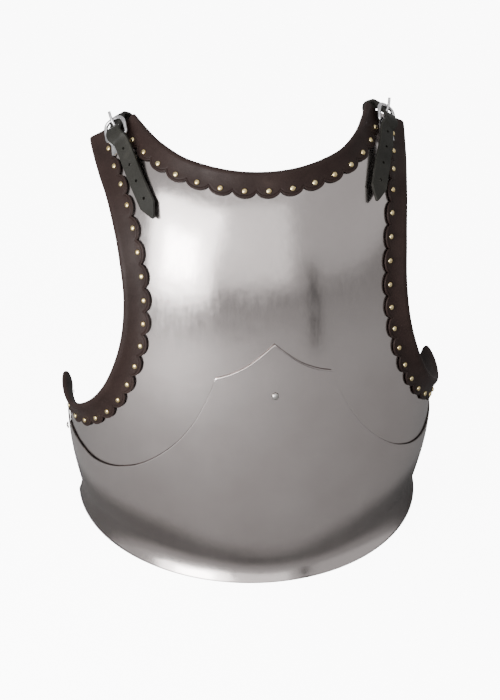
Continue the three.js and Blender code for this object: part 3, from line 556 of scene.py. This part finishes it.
def rivet_blank(name, radius, height):
    """A low domed head standing on z = 0, with a short neck below it."""
    neck, downwards = 0.3, -0.9
    bpy.ops.object.select_all(action="DESELECT")
    bpy.ops.mesh.primitive_uv_sphere_add(segments=24, ring_count=16, radius=radius * MM)
    blank = bpy.context.active_object
    blank.name = name
    bpy.ops.object.mode_set(mode="EDIT")
    bpy.ops.mesh.select_all(action="SELECT")
    bpy.ops.mesh.bisect(plane_co=(0, 0, 0), plane_no=(0, 0, 1), clear_inner=True, use_fill=True)
    bpy.ops.mesh.select_all(action="SELECT")
    bpy.ops.transform.resize(value=(1, 1, height / radius))
    bpy.ops.mesh.select_all(action="DESELECT")
    bpy.ops.object.mode_set(mode="OBJECT")
    for face in blank.data.polygons:
        face.select = face.normal.z < downwards
    bpy.ops.object.mode_set(mode="EDIT")
    bpy.ops.mesh.extrude_region_move(TRANSFORM_OT_translate={"value": (0, 0, -neck * MM)})
    bpy.ops.object.mode_set(mode="OBJECT")
    smooth(blank, 60)
    return blank


def placed(blank, point, normal, spin=0.0):
    """A copy of the blank standing on a point along a normal."""
    twin = blank.copy()
    twin.data = blank.data.copy()
    bpy.context.collection.objects.link(twin)
    turn = Vector(normal).to_track_quat("Z", "Y").to_matrix().to_4x4()
    twin.data.transform(Matrix.Translation(Vector(point) * MM) @ turn @ Matrix.Rotation(spin, 4, "Z"))
    return twin


def band_seats(run, trim, s, lift, above):
    """Points on the band at its rivets, s inwards and lift off the steel, with the way out from each."""
    shape = (len(run["share"]), 1)
    base = band_points(run, trim, np.full(shape, s), np.full(shape, lift))[:, 0]
    tip = band_points(run, trim, np.full(shape, s), np.full(shape, lift + above))[:, 0]
    return zip(base, unit(tip - base))


def make_brass(name, run, trim, head, tail):
    line = BAND["rivet_line"]
    outside = band_seats(run, trim, line, LEATHER_GAP + LEATHER, 1)
    inside = band_seats(run, trim, line, -STEEL - LEATHER_GAP - LEATHER, -1)
    heads = [placed(head, point, normal, BRASS["turn"] * k) for k, (point, normal) in enumerate(outside)]
    tails = [placed(tail, point, normal) for point, normal in inside]
    return joined(name, heads + tails)


def steel_rivet(name, site, dome, tail):
    """A domed rivet head on the plackart, with its tail inside the breastplate."""
    level, angle = site
    point, _, _, normal = torso_frame([level], [angle])
    point, normal = point[0], normal[0]
    head = placed(dome, point + normal * (PLACKART_LIFT + FIT_GAP), normal)
    inner = placed(tail, point - normal * (STEEL + DOME["tail_gap"]), -normal)
    return joined(name, [head, inner])


# ------------------------------------------------------------------ shoulder seat
seat_point, seat_level, _, seat_normal = [rows[0] for rows in torso_frame([SEAT["level"]], [SEAT["angle"]])]
seat_turn = math.radians(SEAT["turn"])
seat_up = unit(seat_level)
seat_along = seat_up * math.cos(seat_turn) + np.cross(seat_normal, seat_up) * math.sin(seat_turn)
seat_across = unit(np.cross(seat_along, seat_normal))


def at_seat(across, along, lift):
    return seat_point + seat_across * across + seat_along * along + seat_normal * lift


prong_knots = [at_seat(0, along, lift) for along, lift in PRONG_PATH]


def wire(name, points, radius, closed=False):
    """A round wire through the points, as a mesh."""
    curve = bpy.data.curves.new(name, "CURVE")
    curve.dimensions = "3D"
    curve.resolution_u = 6
    curve.bevel_depth = radius * MM
    curve.bevel_resolution = 3
    curve.use_fill_caps = True
    line = curve.splines.new("BEZIER")
    line.bezier_points.add(len(points) - 1)
    for knot, point in zip(line.bezier_points, points):
        knot.co = Vector(point) * MM
        knot.handle_left_type = knot.handle_right_type = "AUTO"
    line.use_cyclic_u = closed
    piece = bpy.data.objects.new(name, curve)
    bpy.context.collection.objects.link(piece)
    only(piece)
    bpy.ops.object.convert(target="MESH")
    piece = bpy.context.active_object
    smooth(piece, 60)
    return piece


def make_buckle_frame():
    rise = BUCKLE["bar_lift"] - BUCKLE["hinge_lift"]
    left = [(-across, share) for across, share in BUCKLE_HALF[-2:0:-1]]
    points = [
        at_seat(across, BUCKLE["hinge_along"] + BUCKLE["length"] * share, BUCKLE["hinge_lift"] + rise * share)
        for across, share in BUCKLE_HALF + left
    ]
    return wire("buckle_ring", points, BUCKLE["wire"], closed=True)


def make_prong():
    piece = wire("buckle_tongue", prong_knots, PRONG["radius"])
    ease(piece, PRONG_EASE, 3)
    return piece


def around_bar(bar, radius, first, last):
    """An arc round the hinge bar as places (along, lift), angles in degrees."""
    turns = np.radians(np.linspace(first, last, 19))
    return [bar + radius * np.array([math.cos(turn), math.sin(turn)]) for turn in turns]


def make_clip():
    """Folded nickel sheet round the hinge bar, with a slot for the tongue and a rivet through both leaves."""
    bar = np.array([BUCKLE["hinge_along"], BUCKLE["hinge_lift"]])
    back, throat, leaf = bar[0] - CLIP["length"], bar[0] - CLIP["eye"], CLIP["leaf"]
    low, high = CLIP["lift"], CLIP["lift"] + CLIP["thick"]
    outline = [(back, low)] + around_bar(bar, CLIP["eye"], -80, 150)
    outline += [(throat - CLIP_THROAT["outside"], high), (back, high), (back, high - leaf)]
    outline += [(throat - CLIP_THROAT["inside"], high - leaf)] + around_bar(bar, CLIP["eye"] - leaf, 150, -80)
    outline += [(bar[0] - CLIP_THROAT["tuck"], low + leaf), (back, low + leaf)]
    across = np.linspace(-CLIP["width"] / 2, CLIP["width"] / 2, 15)
    rings = np.array([[at_seat(x, along, lift) for along, lift in outline] for x in across])
    folded = mesh_piece("buckle_clip", rings.reshape(-1, 3), tube_faces(*rings.shape[:2]))
    outward(folded)
    bpy.ops.object.select_all(action="DESELECT")
    bpy.ops.mesh.primitive_cube_add(size=1)
    slot = bpy.context.active_object
    turn = Matrix((seat_along, seat_across, seat_normal)).transposed().to_4x4()
    reach = Matrix.Diagonal((3 * CLIP["eye"] * MM, CLIP["slot"] * MM, 4 * CLIP["eye"] * MM, 1))
    slot.data.transform(Matrix.Translation(Vector(at_seat(0, *bar)) * MM) @ turn @ reach)
    cut(folded, slot)
    ease(folded, CLIP_EASE, 2)
    smooth(folded, 40)
    head = rivet_blank("clip_blank", CLIP_RIVET["radius"], CLIP_RIVET["height"])
    cap = placed(head, at_seat(0, back + CLIP_RIVET["from_end"], high), seat_normal)
    bpy.data.objects.remove(head)
    return joined("buckle_clip", [folded, cap])


# ------------------------------------------------------------------ straps
def strap_route(tail):
    """Knots down the strap from its point to its hidden square end: centre, across, roll."""
    centres, across, rolls = [], [], []
    for level, angle, lift, roll in tail:
        _, _, by_angle, _ = torso_frame([level], [angle])
        centres.append(on_torso([level], [angle], lift)[0])
        across.append(unit(by_angle[0]))
        rolls.append(math.radians(roll))
    end_roll = rolls[-1]
    for k, place in enumerate(STRAP_OVER):
        centres.append(at_seat(*place))
        across.append(seat_across)
        rolls.append(end_roll / 2 if k == 0 else 0)
    for drop in STRAP_DROP:
        centres.append(centres[len(tail) + len(STRAP_OVER) - 1] - np.array([0, 0, drop]))
        across.append(seat_across)
        rolls.append(0)
    return np.array(centres), np.array(across), np.array(rolls)


def strap_section(width):
    """Eased edges and a slightly crowned face, as (side, face) pairs for one ring."""
    half, thick = width / 2, STRAP["thick"] / 2
    high, low = STRAP_EDGE["ease"], STRAP_EDGE["back"]
    wall = thick - high - STRAP_EDGE["shoulder"]
    face = [(x * (half - high), thick + STRAP_EDGE["crown"] * (1 - x * x)) for x in np.linspace(-1, 1, 9)]
    around = []
    for turn in np.radians((25, 50, 75)):
        around.append((half - high + high * math.sin(turn), thick - high + high * math.cos(turn)))
    around += [(half, wall), (half + STRAP_EDGE["bulge"], 0), (half, -wall)]
    for turn in np.radians((30, 60)):
        around.append((half - low + low * math.cos(turn), low - thick - low * math.sin(turn)))
    back = [(x * (half - low), -thick) for x in np.linspace(1, -1, 7)]
    return face + around + back + [(-x, y) for x, y in reversed(around)]


def strap_rings(tail):
    """The strap's rings from its point on: distance from the tip, centre, side and outward ways, width."""
    centres, across, rolls = strap_route(tail)
    t = np.linspace(0, 1, SAMPLES["route"])
    fine, _ = spline(centres, t)
    length = np.concatenate([[0], np.cumsum(np.linalg.norm(np.diff(fine, axis=0), axis=1))])
    tip = STRAP["tip"]
    at = np.concatenate([TIP_STOPS, np.linspace(tip, tip + length[-1], STRAP_RINGS)])
    place = np.interp(np.maximum(at - tip, 0), length, t)
    centre, tangent = spline(centres, place)
    tangent = unit(tangent)
    centre = centre - tangent * np.maximum(tip - at, 0)[:, None]
    knots = np.arange(len(centres))
    on_knots = place * knots[-1]
    side = np.stack([np.interp(on_knots, knots, across[:, k]) for k in range(3)], axis=1)
    roll = np.interp(on_knots, knots, rolls)[:, None]
    side = unit(side - tangent * (side * tangent).sum(1, keepdims=True))
    out = np.cross(side, tangent)
    side, out = side * np.cos(roll) + out * np.sin(roll), out * np.cos(roll) - side * np.sin(roll)
    grown = np.minimum(at / tip, 1) ** STRAP["tip_power"]
    width = STRAP["tip_width"] + (STRAP["width"] - STRAP["tip_width"]) * grown
    return at, centre, side, out, width


def punch(piece, point, heading, radius):
    """A round hole through a piece."""
    bpy.ops.object.select_all(action="DESELECT")
    bpy.ops.mesh.primitive_cylinder_add(vertices=24, radius=radius * MM, depth=STRAP_HOLES["punch"] * MM)
    tool = bpy.context.active_object
    turn = Vector(heading).to_track_quat("Z", "Y").to_matrix().to_4x4()
    tool.data.transform(Matrix.Translation(Vector(point) * MM) @ turn)
    cut(piece, tool)


def make_strap(name, tail):
    at, centre, side, out, width = strap_rings(tail)
    sections = np.array([strap_section(one) for one in width])
    rings = centre[:, None] + side[:, None] * sections[..., :1] + out[:, None] * sections[..., 1:]
    rows, columns = rings.shape[:2]
    uv = np.stack([np.repeat(at, columns), sections[..., 0].ravel()], axis=1) * MM
    band = mesh_piece(name, rings.reshape(-1, 3), tube_faces(rows, columns), uv)
    outward(band)
    for k in range(STRAP_HOLES["count"]):
        row = np.argmin(abs(at - (STRAP["tip"] + STRAP_HOLES["first"] + k * STRAP_HOLES["gap"])))
        punch(band, centre[row], out[row], STRAP_HOLES["radius"])
    pierced, heading = spline(prong_knots, np.array([PRONG["pierce"]]))
    punch(band, pierced[0], unit(heading)[0], PRONG["radius"] + PRONG["clearance"] / 2)
    smooth(band, 38)
    return band


# ------------------------------------------------------------------ finishes
def material(name):
    made = bpy.data.materials.new(name)
    made.use_nodes = True
    tree = made.node_tree
    return made, tree, tree.nodes["Principled BSDF"]


def add(tree, kind, inputs=(), **settings):
    node = tree.nodes.new(kind)
    for key, value in settings.items():
        setattr(node, key, value)
    for socket, value in dict(inputs).items():
        if isinstance(value, bpy.types.NodeSocket):
            tree.links.new(value, node.inputs[socket])
        else:
            node.inputs[socket].default_value = value
    return node


def noise(tree, vector, scale, detail, roughness):
    inputs = {"Vector": vector, "Scale": scale, "Detail": detail, "Roughness": roughness}
    return add(tree, "ShaderNodeTexNoise", inputs).outputs["Fac"]


def blend(tree, factor, low, high):
    node = add(tree, "ShaderNodeMix", {"Factor": factor, "A": low, "B": high}, data_type="RGBA")
    return node.outputs["Result"]


def weighed(tree, value, weight, rest=0.0):
    """value * weight + rest."""
    return add(tree, "ShaderNodeMath", {0: value, 1: weight, 2: rest}, operation="MULTIPLY_ADD").outputs[0]


def between(tree, value, limits, ends):
    """A value carried from one pair of limits to another."""
    names = ("Value", "From Min", "From Max", "To Min", "To Max")
    return add(tree, "ShaderNodeMapRange", zip(names, (value, *limits, *ends))).outputs["Result"]


def grey(value):
    return (value, value, value, 1)


def ramp(tree, factor, stops):
    """Grey tones at stops of a value, as (position, tone) pairs."""
    node = add(tree, "ShaderNodeValToRGB", {"Fac": factor})
    elements = node.color_ramp.elements
    for _ in range(len(stops) - 2):
        elements.new(0.5)
    for element, (position, tone) in zip(elements, stops):
        element.position = position
        element.color = grey(tone)
    return node.outputs["Color"]


FLOAT, VECTOR, COLOUR = "NodeSocketFloat", "NodeSocketVector", "NodeSocketColor"


def group(name, inputs):
    """A shared group that gives a finish's colour, roughness and height."""
    made = bpy.data.node_groups.new(name, "ShaderNodeTree")
    for socket, kind in inputs.items():
        made.interface.new_socket(socket, in_out="INPUT", socket_type=kind)
    for socket, kind in (("Colour", COLOUR), ("Roughness", FLOAT), ("Height", FLOAT)):
        made.interface.new_socket(socket, in_out="OUTPUT", socket_type=kind)
    return made, made.nodes.new("NodeGroupInput").outputs, made.nodes.new("NodeGroupOutput").inputs


def brushed_metal_group():
    """Clouded tone, fine drawn scratches and soft planishing waves of hand-finished metal."""
    tree, given, put = group("brushed metal", {
        "Vector": VECTOR, "Light": COLOUR, "Dark": COLOUR, "Smooth": FLOAT, "Rough": FLOAT,
        "Cloud Scale": FLOAT, "Scratch Scale": FLOAT,
    })
    drawn_out, tone_in_rough, marks_in_rough, marks_in_height = 0.04, 0.55, 0.45, 0.005
    clouds = noise(tree, given["Vector"], given["Cloud Scale"], 4.0, 0.55)
    tone = ramp(tree, clouds, [(0.36, 0), (0.66, 1)])
    tree.links.new(blend(tree, tone, given["Dark"], given["Light"]), put["Colour"])
    stretch = add(tree, "ShaderNodeMapping", {"Vector": given["Vector"], "Scale": (1, 1, drawn_out)})
    drawn = noise(tree, stretch.outputs["Vector"], given["Scratch Scale"], 4.0, 0.7)
    marks = ramp(tree, drawn, [(0.42, 0), (0.62, 1)])
    wear = weighed(tree, marks, marks_in_rough, weighed(tree, tone, tone_in_rough))
    tree.links.new(between(tree, wear, (0, 1), (given["Smooth"], given["Rough"])), put["Roughness"])
    tree.links.new(weighed(tree, marks, marks_in_height, clouds), put["Height"])
    return tree


def leather_group():
    """Pebbled grain with fine creases, tone patches and rubbed high spots."""
    tree, given, put = group("leather hide", {
        "Vector": VECTOR, "Deep": COLOUR, "Mid": COLOUR, "Rubbed": COLOUR,
        "Grain Scale": FLOAT, "Smooth": FLOAT, "Rough": FLOAT,
    })
    patch_scale, crease_scale, crease_in_height = 30.0, 1800.0, 0.35
    patches = noise(tree, given["Vector"], patch_scale, 5.0, 0.6)
    base = blend(tree, ramp(tree, patches, [(0.3, 0), (0.7, 1)]), given["Deep"], given["Mid"])
    worn = blend(tree, ramp(tree, patches, [(0.62, 0), (0.8, 0.55)]), base, given["Rubbed"])
    tree.links.new(worn, put["Colour"])
    tree.links.new(between(tree, patches, (0.3, 0.7), (given["Rough"], given["Smooth"])), put["Roughness"])
    grain = {"Vector": given["Vector"], "Scale": given["Grain Scale"]}
    cells = add(tree, "ShaderNodeTexVoronoi", grain, feature="SMOOTH_F1").outputs["Distance"]
    fine = noise(tree, given["Vector"], crease_scale, 3.0, 0.6)
    tree.links.new(weighed(tree, fine, crease_in_height, cells), put["Height"])
    return tree


METAL, HIDE = brushed_metal_group(), leather_group()


def dress(tree, shader, shared, bump, inputs):
    """Feeds a material's shader from a shared group in object coordinates. bump is the relief in mm."""
    node = add(tree, "ShaderNodeGroup", node_tree=shared)
    place = add(tree, "ShaderNodeTexCoord")
    tree.links.new(place.outputs["Object"], node.inputs["Vector"])
    for socket, value in inputs.items():
        node.inputs[socket].default_value = value
    tree.links.new(node.outputs["Colour"], shader.inputs["Base Color"])
    tree.links.new(node.outputs["Roughness"], shader.inputs["Roughness"])
    relief = {"Strength": 1.0, "Distance": bump * MM, "Height": node.outputs["Height"]}
    tree.links.new(add(tree, "ShaderNodeBump", relief).outputs["Normal"], shader.inputs["Normal"])


def metal_material(name, light, dark, smooth_to, rough_to, cloud, scratch, bump):
    made, tree, shader = material(name)
    shader.inputs["Metallic"].default_value = 1.0
    dress(tree, shader, METAL, bump, {
        "Light": (*light, 1), "Dark": (*dark, 1), "Smooth": smooth_to, "Rough": rough_to,
        "Cloud Scale": cloud, "Scratch Scale": scratch,
    })
    return made


def leather_material(name, deep, mid, rubbed, grain, smooth_to, rough_to, bump):
    made, tree, shader = material(name)
    shader.inputs["Specular IOR Level"].default_value = 0.16
    dress(tree, shader, HIDE, bump, {
        "Deep": (*deep, 1), "Mid": (*mid, 1), "Rubbed": (*rubbed, 1), "Grain Scale": grain,
        "Smooth": smooth_to, "Rough": rough_to,
    })
    return made


# Metals: light and dark tone, least and most roughness, scales of clouds and scratches, relief.
steel = metal_material("polished steel", (0.57, 0.52, 0.505), (0.51, 0.46, 0.445), 0.16, 0.25, 9, 300, 0.9)
# The plates' edge walls and their bevels get a much darker steel: painted shade for the dark shadow line
# along the plackart's seam.
edge_shade_steel = metal_material("steel edge painted shade", (0.2, 0.18, 0.17), (0.1, 0.09, 0.085), 0.35, 0.5, 60, 700, 0.01)
rivet_steel = metal_material("rivet steel", (0.55, 0.53, 0.51), (0.4, 0.38, 0.36), 0.22, 0.4, 60, 700, 0.01)
nickel = metal_material("nickel plate", (0.72, 0.71, 0.72), (0.5, 0.49, 0.5), 0.16, 0.38, 120, 900, 0.01)
brass = metal_material("aged brass", (0.82, 0.7, 0.38), (0.66, 0.5, 0.24), 0.16, 0.26, 160, 900, 0.002)

# Leathers: deep, middle and rubbed tone, scale of the grain, least and most roughness, relief.
trim_tones = (0.014, 0.0075, 0.0062), (0.023, 0.0135, 0.0115), (0.042, 0.028, 0.023)
strap_tones = (0.012, 0.0115, 0.0095), (0.022, 0.021, 0.018), (0.045, 0.042, 0.035)
trim_hide = leather_material("trim leather", *trim_tones, 900, 0.46, 0.65, 0.1)
strap_hide = leather_material("strap leather", *strap_tones, 1100, 0.42, 0.62, 0.1)

# ------------------------------------------------------------------ pieces
finish_piece(make_breastplate(), [steel, edge_shade_steel], ["breastplate"])
finish_piece(make_plackart(), [steel, edge_shade_steel], ["plackart"])

brass_head = rivet_blank("brass_blank", BRASS["radius"], BRASS["height"])
brass_tail = rivet_blank("tail_blank", BRASS["tail_radius"], BRASS["tail_height"])
neck_band, neck_run = make_trim("neck_leather", WHOLE_NECK, NECK_TRIM, 2)
arm_band, arm_run = make_trim("arm_leather_right", ARM_EDGE, ARM_TRIM, 1)
neck_brass = make_brass("neck_brass", neck_run, NECK_TRIM, brass_head, brass_tail)
arm_brass = make_brass("arm_brass_right", arm_run, ARM_TRIM, brass_head, brass_tail)
finish_piece(mirrored(arm_band, "arm_leather_left"), [trim_hide], ["arm_trim_left"])
finish_piece(mirrored(arm_brass, "arm_brass_left"), [brass], ["arm_trim_left"])
finish_piece(arm_band, [trim_hide], ["arm_trim_right"])
finish_piece(arm_brass, [brass], ["arm_trim_right"])
finish_piece(neck_band, [trim_hide], ["neck_trim"])
finish_piece(neck_brass, [brass], ["neck_trim"])

dome = rivet_blank("dome_blank", DOME["radius"], DOME["height"])
peened = rivet_blank("peened_blank", DOME["tail_radius"], DOME["tail_height"])
for node, site in {
    "plackart_rivet_centre": CENTRE_RIVET,
    "plackart_rivet_right": SIDE_RIVET,
    "plackart_rivet_left": (SIDE_RIVET[0], -SIDE_RIVET[1]),
}.items():
    finish_piece(steel_rivet(f"{node}_domed", site, dome, peened), [rivet_steel], [node])

nickel_makers = {"buckle_frame": make_buckle_frame, "buckle_prong": make_prong, "buckle_plate": make_clip}
for node, make in nickel_makers.items():
    right = make()
    right.name = f"{node}_nickel_right"
    finish_piece(mirrored(right, f"{node}_nickel_left"), [nickel], [f"{node}_left"])
    finish_piece(right, [nickel], [f"{node}_right"])

finish_piece(make_strap("strap_hide_right", RIGHT_TAIL), [strap_hide], ["strap_right"])
left_strap = make_strap("strap_hide_unturned", LEFT_TAIL)
finish_piece(mirrored(left_strap, "strap_hide_left"), [strap_hide], ["strap_left"])
for spare in (left_strap, brass_head, brass_tail, dome, peened):
    bpy.data.objects.remove(spare)

# ------------------------------------------------------------------ camera, floor and light
# Places here are in metres and degrees, apart from the camera's aim, which is in the part's millimetres.
CAMERA = {"azimuth": -8.61, "elevation": 27.55, "distance": 1.6398, "lens": 82.29}
CAMERA_AIM = (-15.84, 57.6, 237.7)
# The floor's near and far reach and the floor tones set a painted contact shadow in reflections, dark close
# to the rim.
FLOOR = {"size": 12, "near": 1.12, "far": 5.0, "sheet": 0.88, "glow": 9}
FLOOR_SHADOW_TONES = [(0, 0.11), (0.035, 0.27), (1, 0.42)]
FLAG = {"at": (0.52, -0.97, 0.2), "turn": 28, "size": (0.11, 0.01, 0.4)}
WORLD = 0.7

# Lights: azimuth, elevation, distance, width and height, watts.
LIGHTS = {
    "key": (-47, 19, 1.3, (1.15, 0.95), 22),
    "core": (-46, 13, 1.28, (0.55, 0.4), 12),
    "front": (-1, 20, 2.2, (1.5, 1.5), 8),
    "top": (0, 66, 1.5, (1.3, 1.0), 4),
}


def direction(azimuth, elevation):
    a, e = math.radians(azimuth), math.radians(elevation)
    return Vector((math.sin(a) * math.cos(e), -math.cos(a) * math.cos(e), math.sin(e)))


def facing(name, data, target, azimuth, elevation, distance):
    """A camera or lamp that looks at a target from a direction."""
    thing = bpy.data.objects.new(name, data)
    bpy.context.collection.objects.link(thing)
    way = direction(azimuth, elevation)
    thing.location = target + way * distance
    thing.rotation_euler = way.to_track_quat("Z", "Y").to_euler()
    return thing


def floor_material():
    """A white sheet to the camera, and in reflections a grey floor with a painted contact shadow, darker
    close to the rim.
    """
    made, tree, shader = material("pale floor")
    shader.inputs["Roughness"].default_value = 0.95
    shader.inputs["Specular IOR Level"].default_value = 0.0
    place = add(tree, "ShaderNodeTexCoord").outputs["Object"]
    rim_centre = (0, (SEAM_Y + RIM["front"] + RIM["depth"]) * MM, 0)
    to_rims = (1 / (RIM["half"] * MM), 1 / (RIM["depth"] * MM), 0)
    away = add(tree, "ShaderNodeVectorMath", {0: place, 1: rim_centre}, operation="SUBTRACT").outputs[0]
    scaled = add(tree, "ShaderNodeVectorMath", {0: away, 1: to_rims}, operation="MULTIPLY").outputs[0]
    reach = add(tree, "ShaderNodeVectorMath", {0: scaled}, operation="LENGTH").outputs["Value"]
    # Painted contact shadow: the floor's colour darkens close to the rim.
    share = between(tree, reach, (FLOOR["near"], FLOOR["far"]), (0, 1))
    tree.links.new(ramp(tree, share, FLOOR_SHADOW_TONES), shader.inputs["Base Color"])
    sheet = add(tree, "ShaderNodeBsdfDiffuse", {"Color": grey(FLOOR["sheet"])})
    glow = add(tree, "ShaderNodeEmission", {"Color": grey(1), "Strength": FLOOR["glow"]})
    bright = add(tree, "ShaderNodeAddShader", {0: sheet.outputs[0], 1: glow.outputs[0]})
    seen = add(tree, "ShaderNodeLightPath").outputs["Is Camera Ray"]
    shown = add(tree, "ShaderNodeMixShader", {0: seen, 1: shader.outputs[0], 2: bright.outputs[0]})
    tree.links.new(shown.outputs[0], tree.nodes["Material Output"].inputs["Surface"])
    return made


def cloth_material():
    made, _, shader = material("black cloth")
    shader.inputs["Base Color"].default_value = grey(0.02)
    shader.inputs["Roughness"].default_value = 1.0
    return made


aim = (Vector(CAMERA_AIM) + Vector((0, SEAM_Y, 0))) * MM
lens = bpy.data.cameras.new("camera")
lens.lens = CAMERA["lens"]
lens.sensor_width = 36
camera = facing("camera", lens, aim, CAMERA["azimuth"], CAMERA["elevation"], CAMERA["distance"])
bpy.context.scene.camera = camera

bpy.ops.object.select_all(action="DESELECT")
bpy.ops.mesh.primitive_plane_add(size=FLOOR["size"])
floor = bpy.context.active_object
floor.name = "floor"
floor.data.materials.append(floor_material())

middle = (Vector(cad_box[0]) + Vector(cad_box[1])) / 2
for name, (azimuth, elevation, distance, (width, height), power) in LIGHTS.items():
    card = bpy.data.lights.new(name, "AREA")
    card.shape = "RECTANGLE"
    card.size, card.size_y, card.energy = width, height, power
    facing(name, card, middle, azimuth, elevation, distance).visible_camera = False

# A dark flag beside the part gives the narrow dark streak in the steel.
bpy.ops.object.select_all(action="DESELECT")
bpy.ops.mesh.primitive_cube_add(size=1)
flag = bpy.context.active_object
flag.name = "studio_flag"
turned = Matrix.Rotation(math.radians(FLAG["turn"]), 4, "Z")
flag.data.transform(Matrix.Translation(FLAG["at"]) @ turned @ Matrix.Diagonal((*FLAG["size"], 1)))
flag.visible_camera = False
flag.data.materials.append(cloth_material())

world = bpy.data.worlds.new("studio")
world.use_nodes = True
sky = world.node_tree.nodes["Background"]
sky.inputs["Color"].default_value = grey(1)
sky.inputs["Strength"].default_value = WORLD
bpy.context.scene.world = world
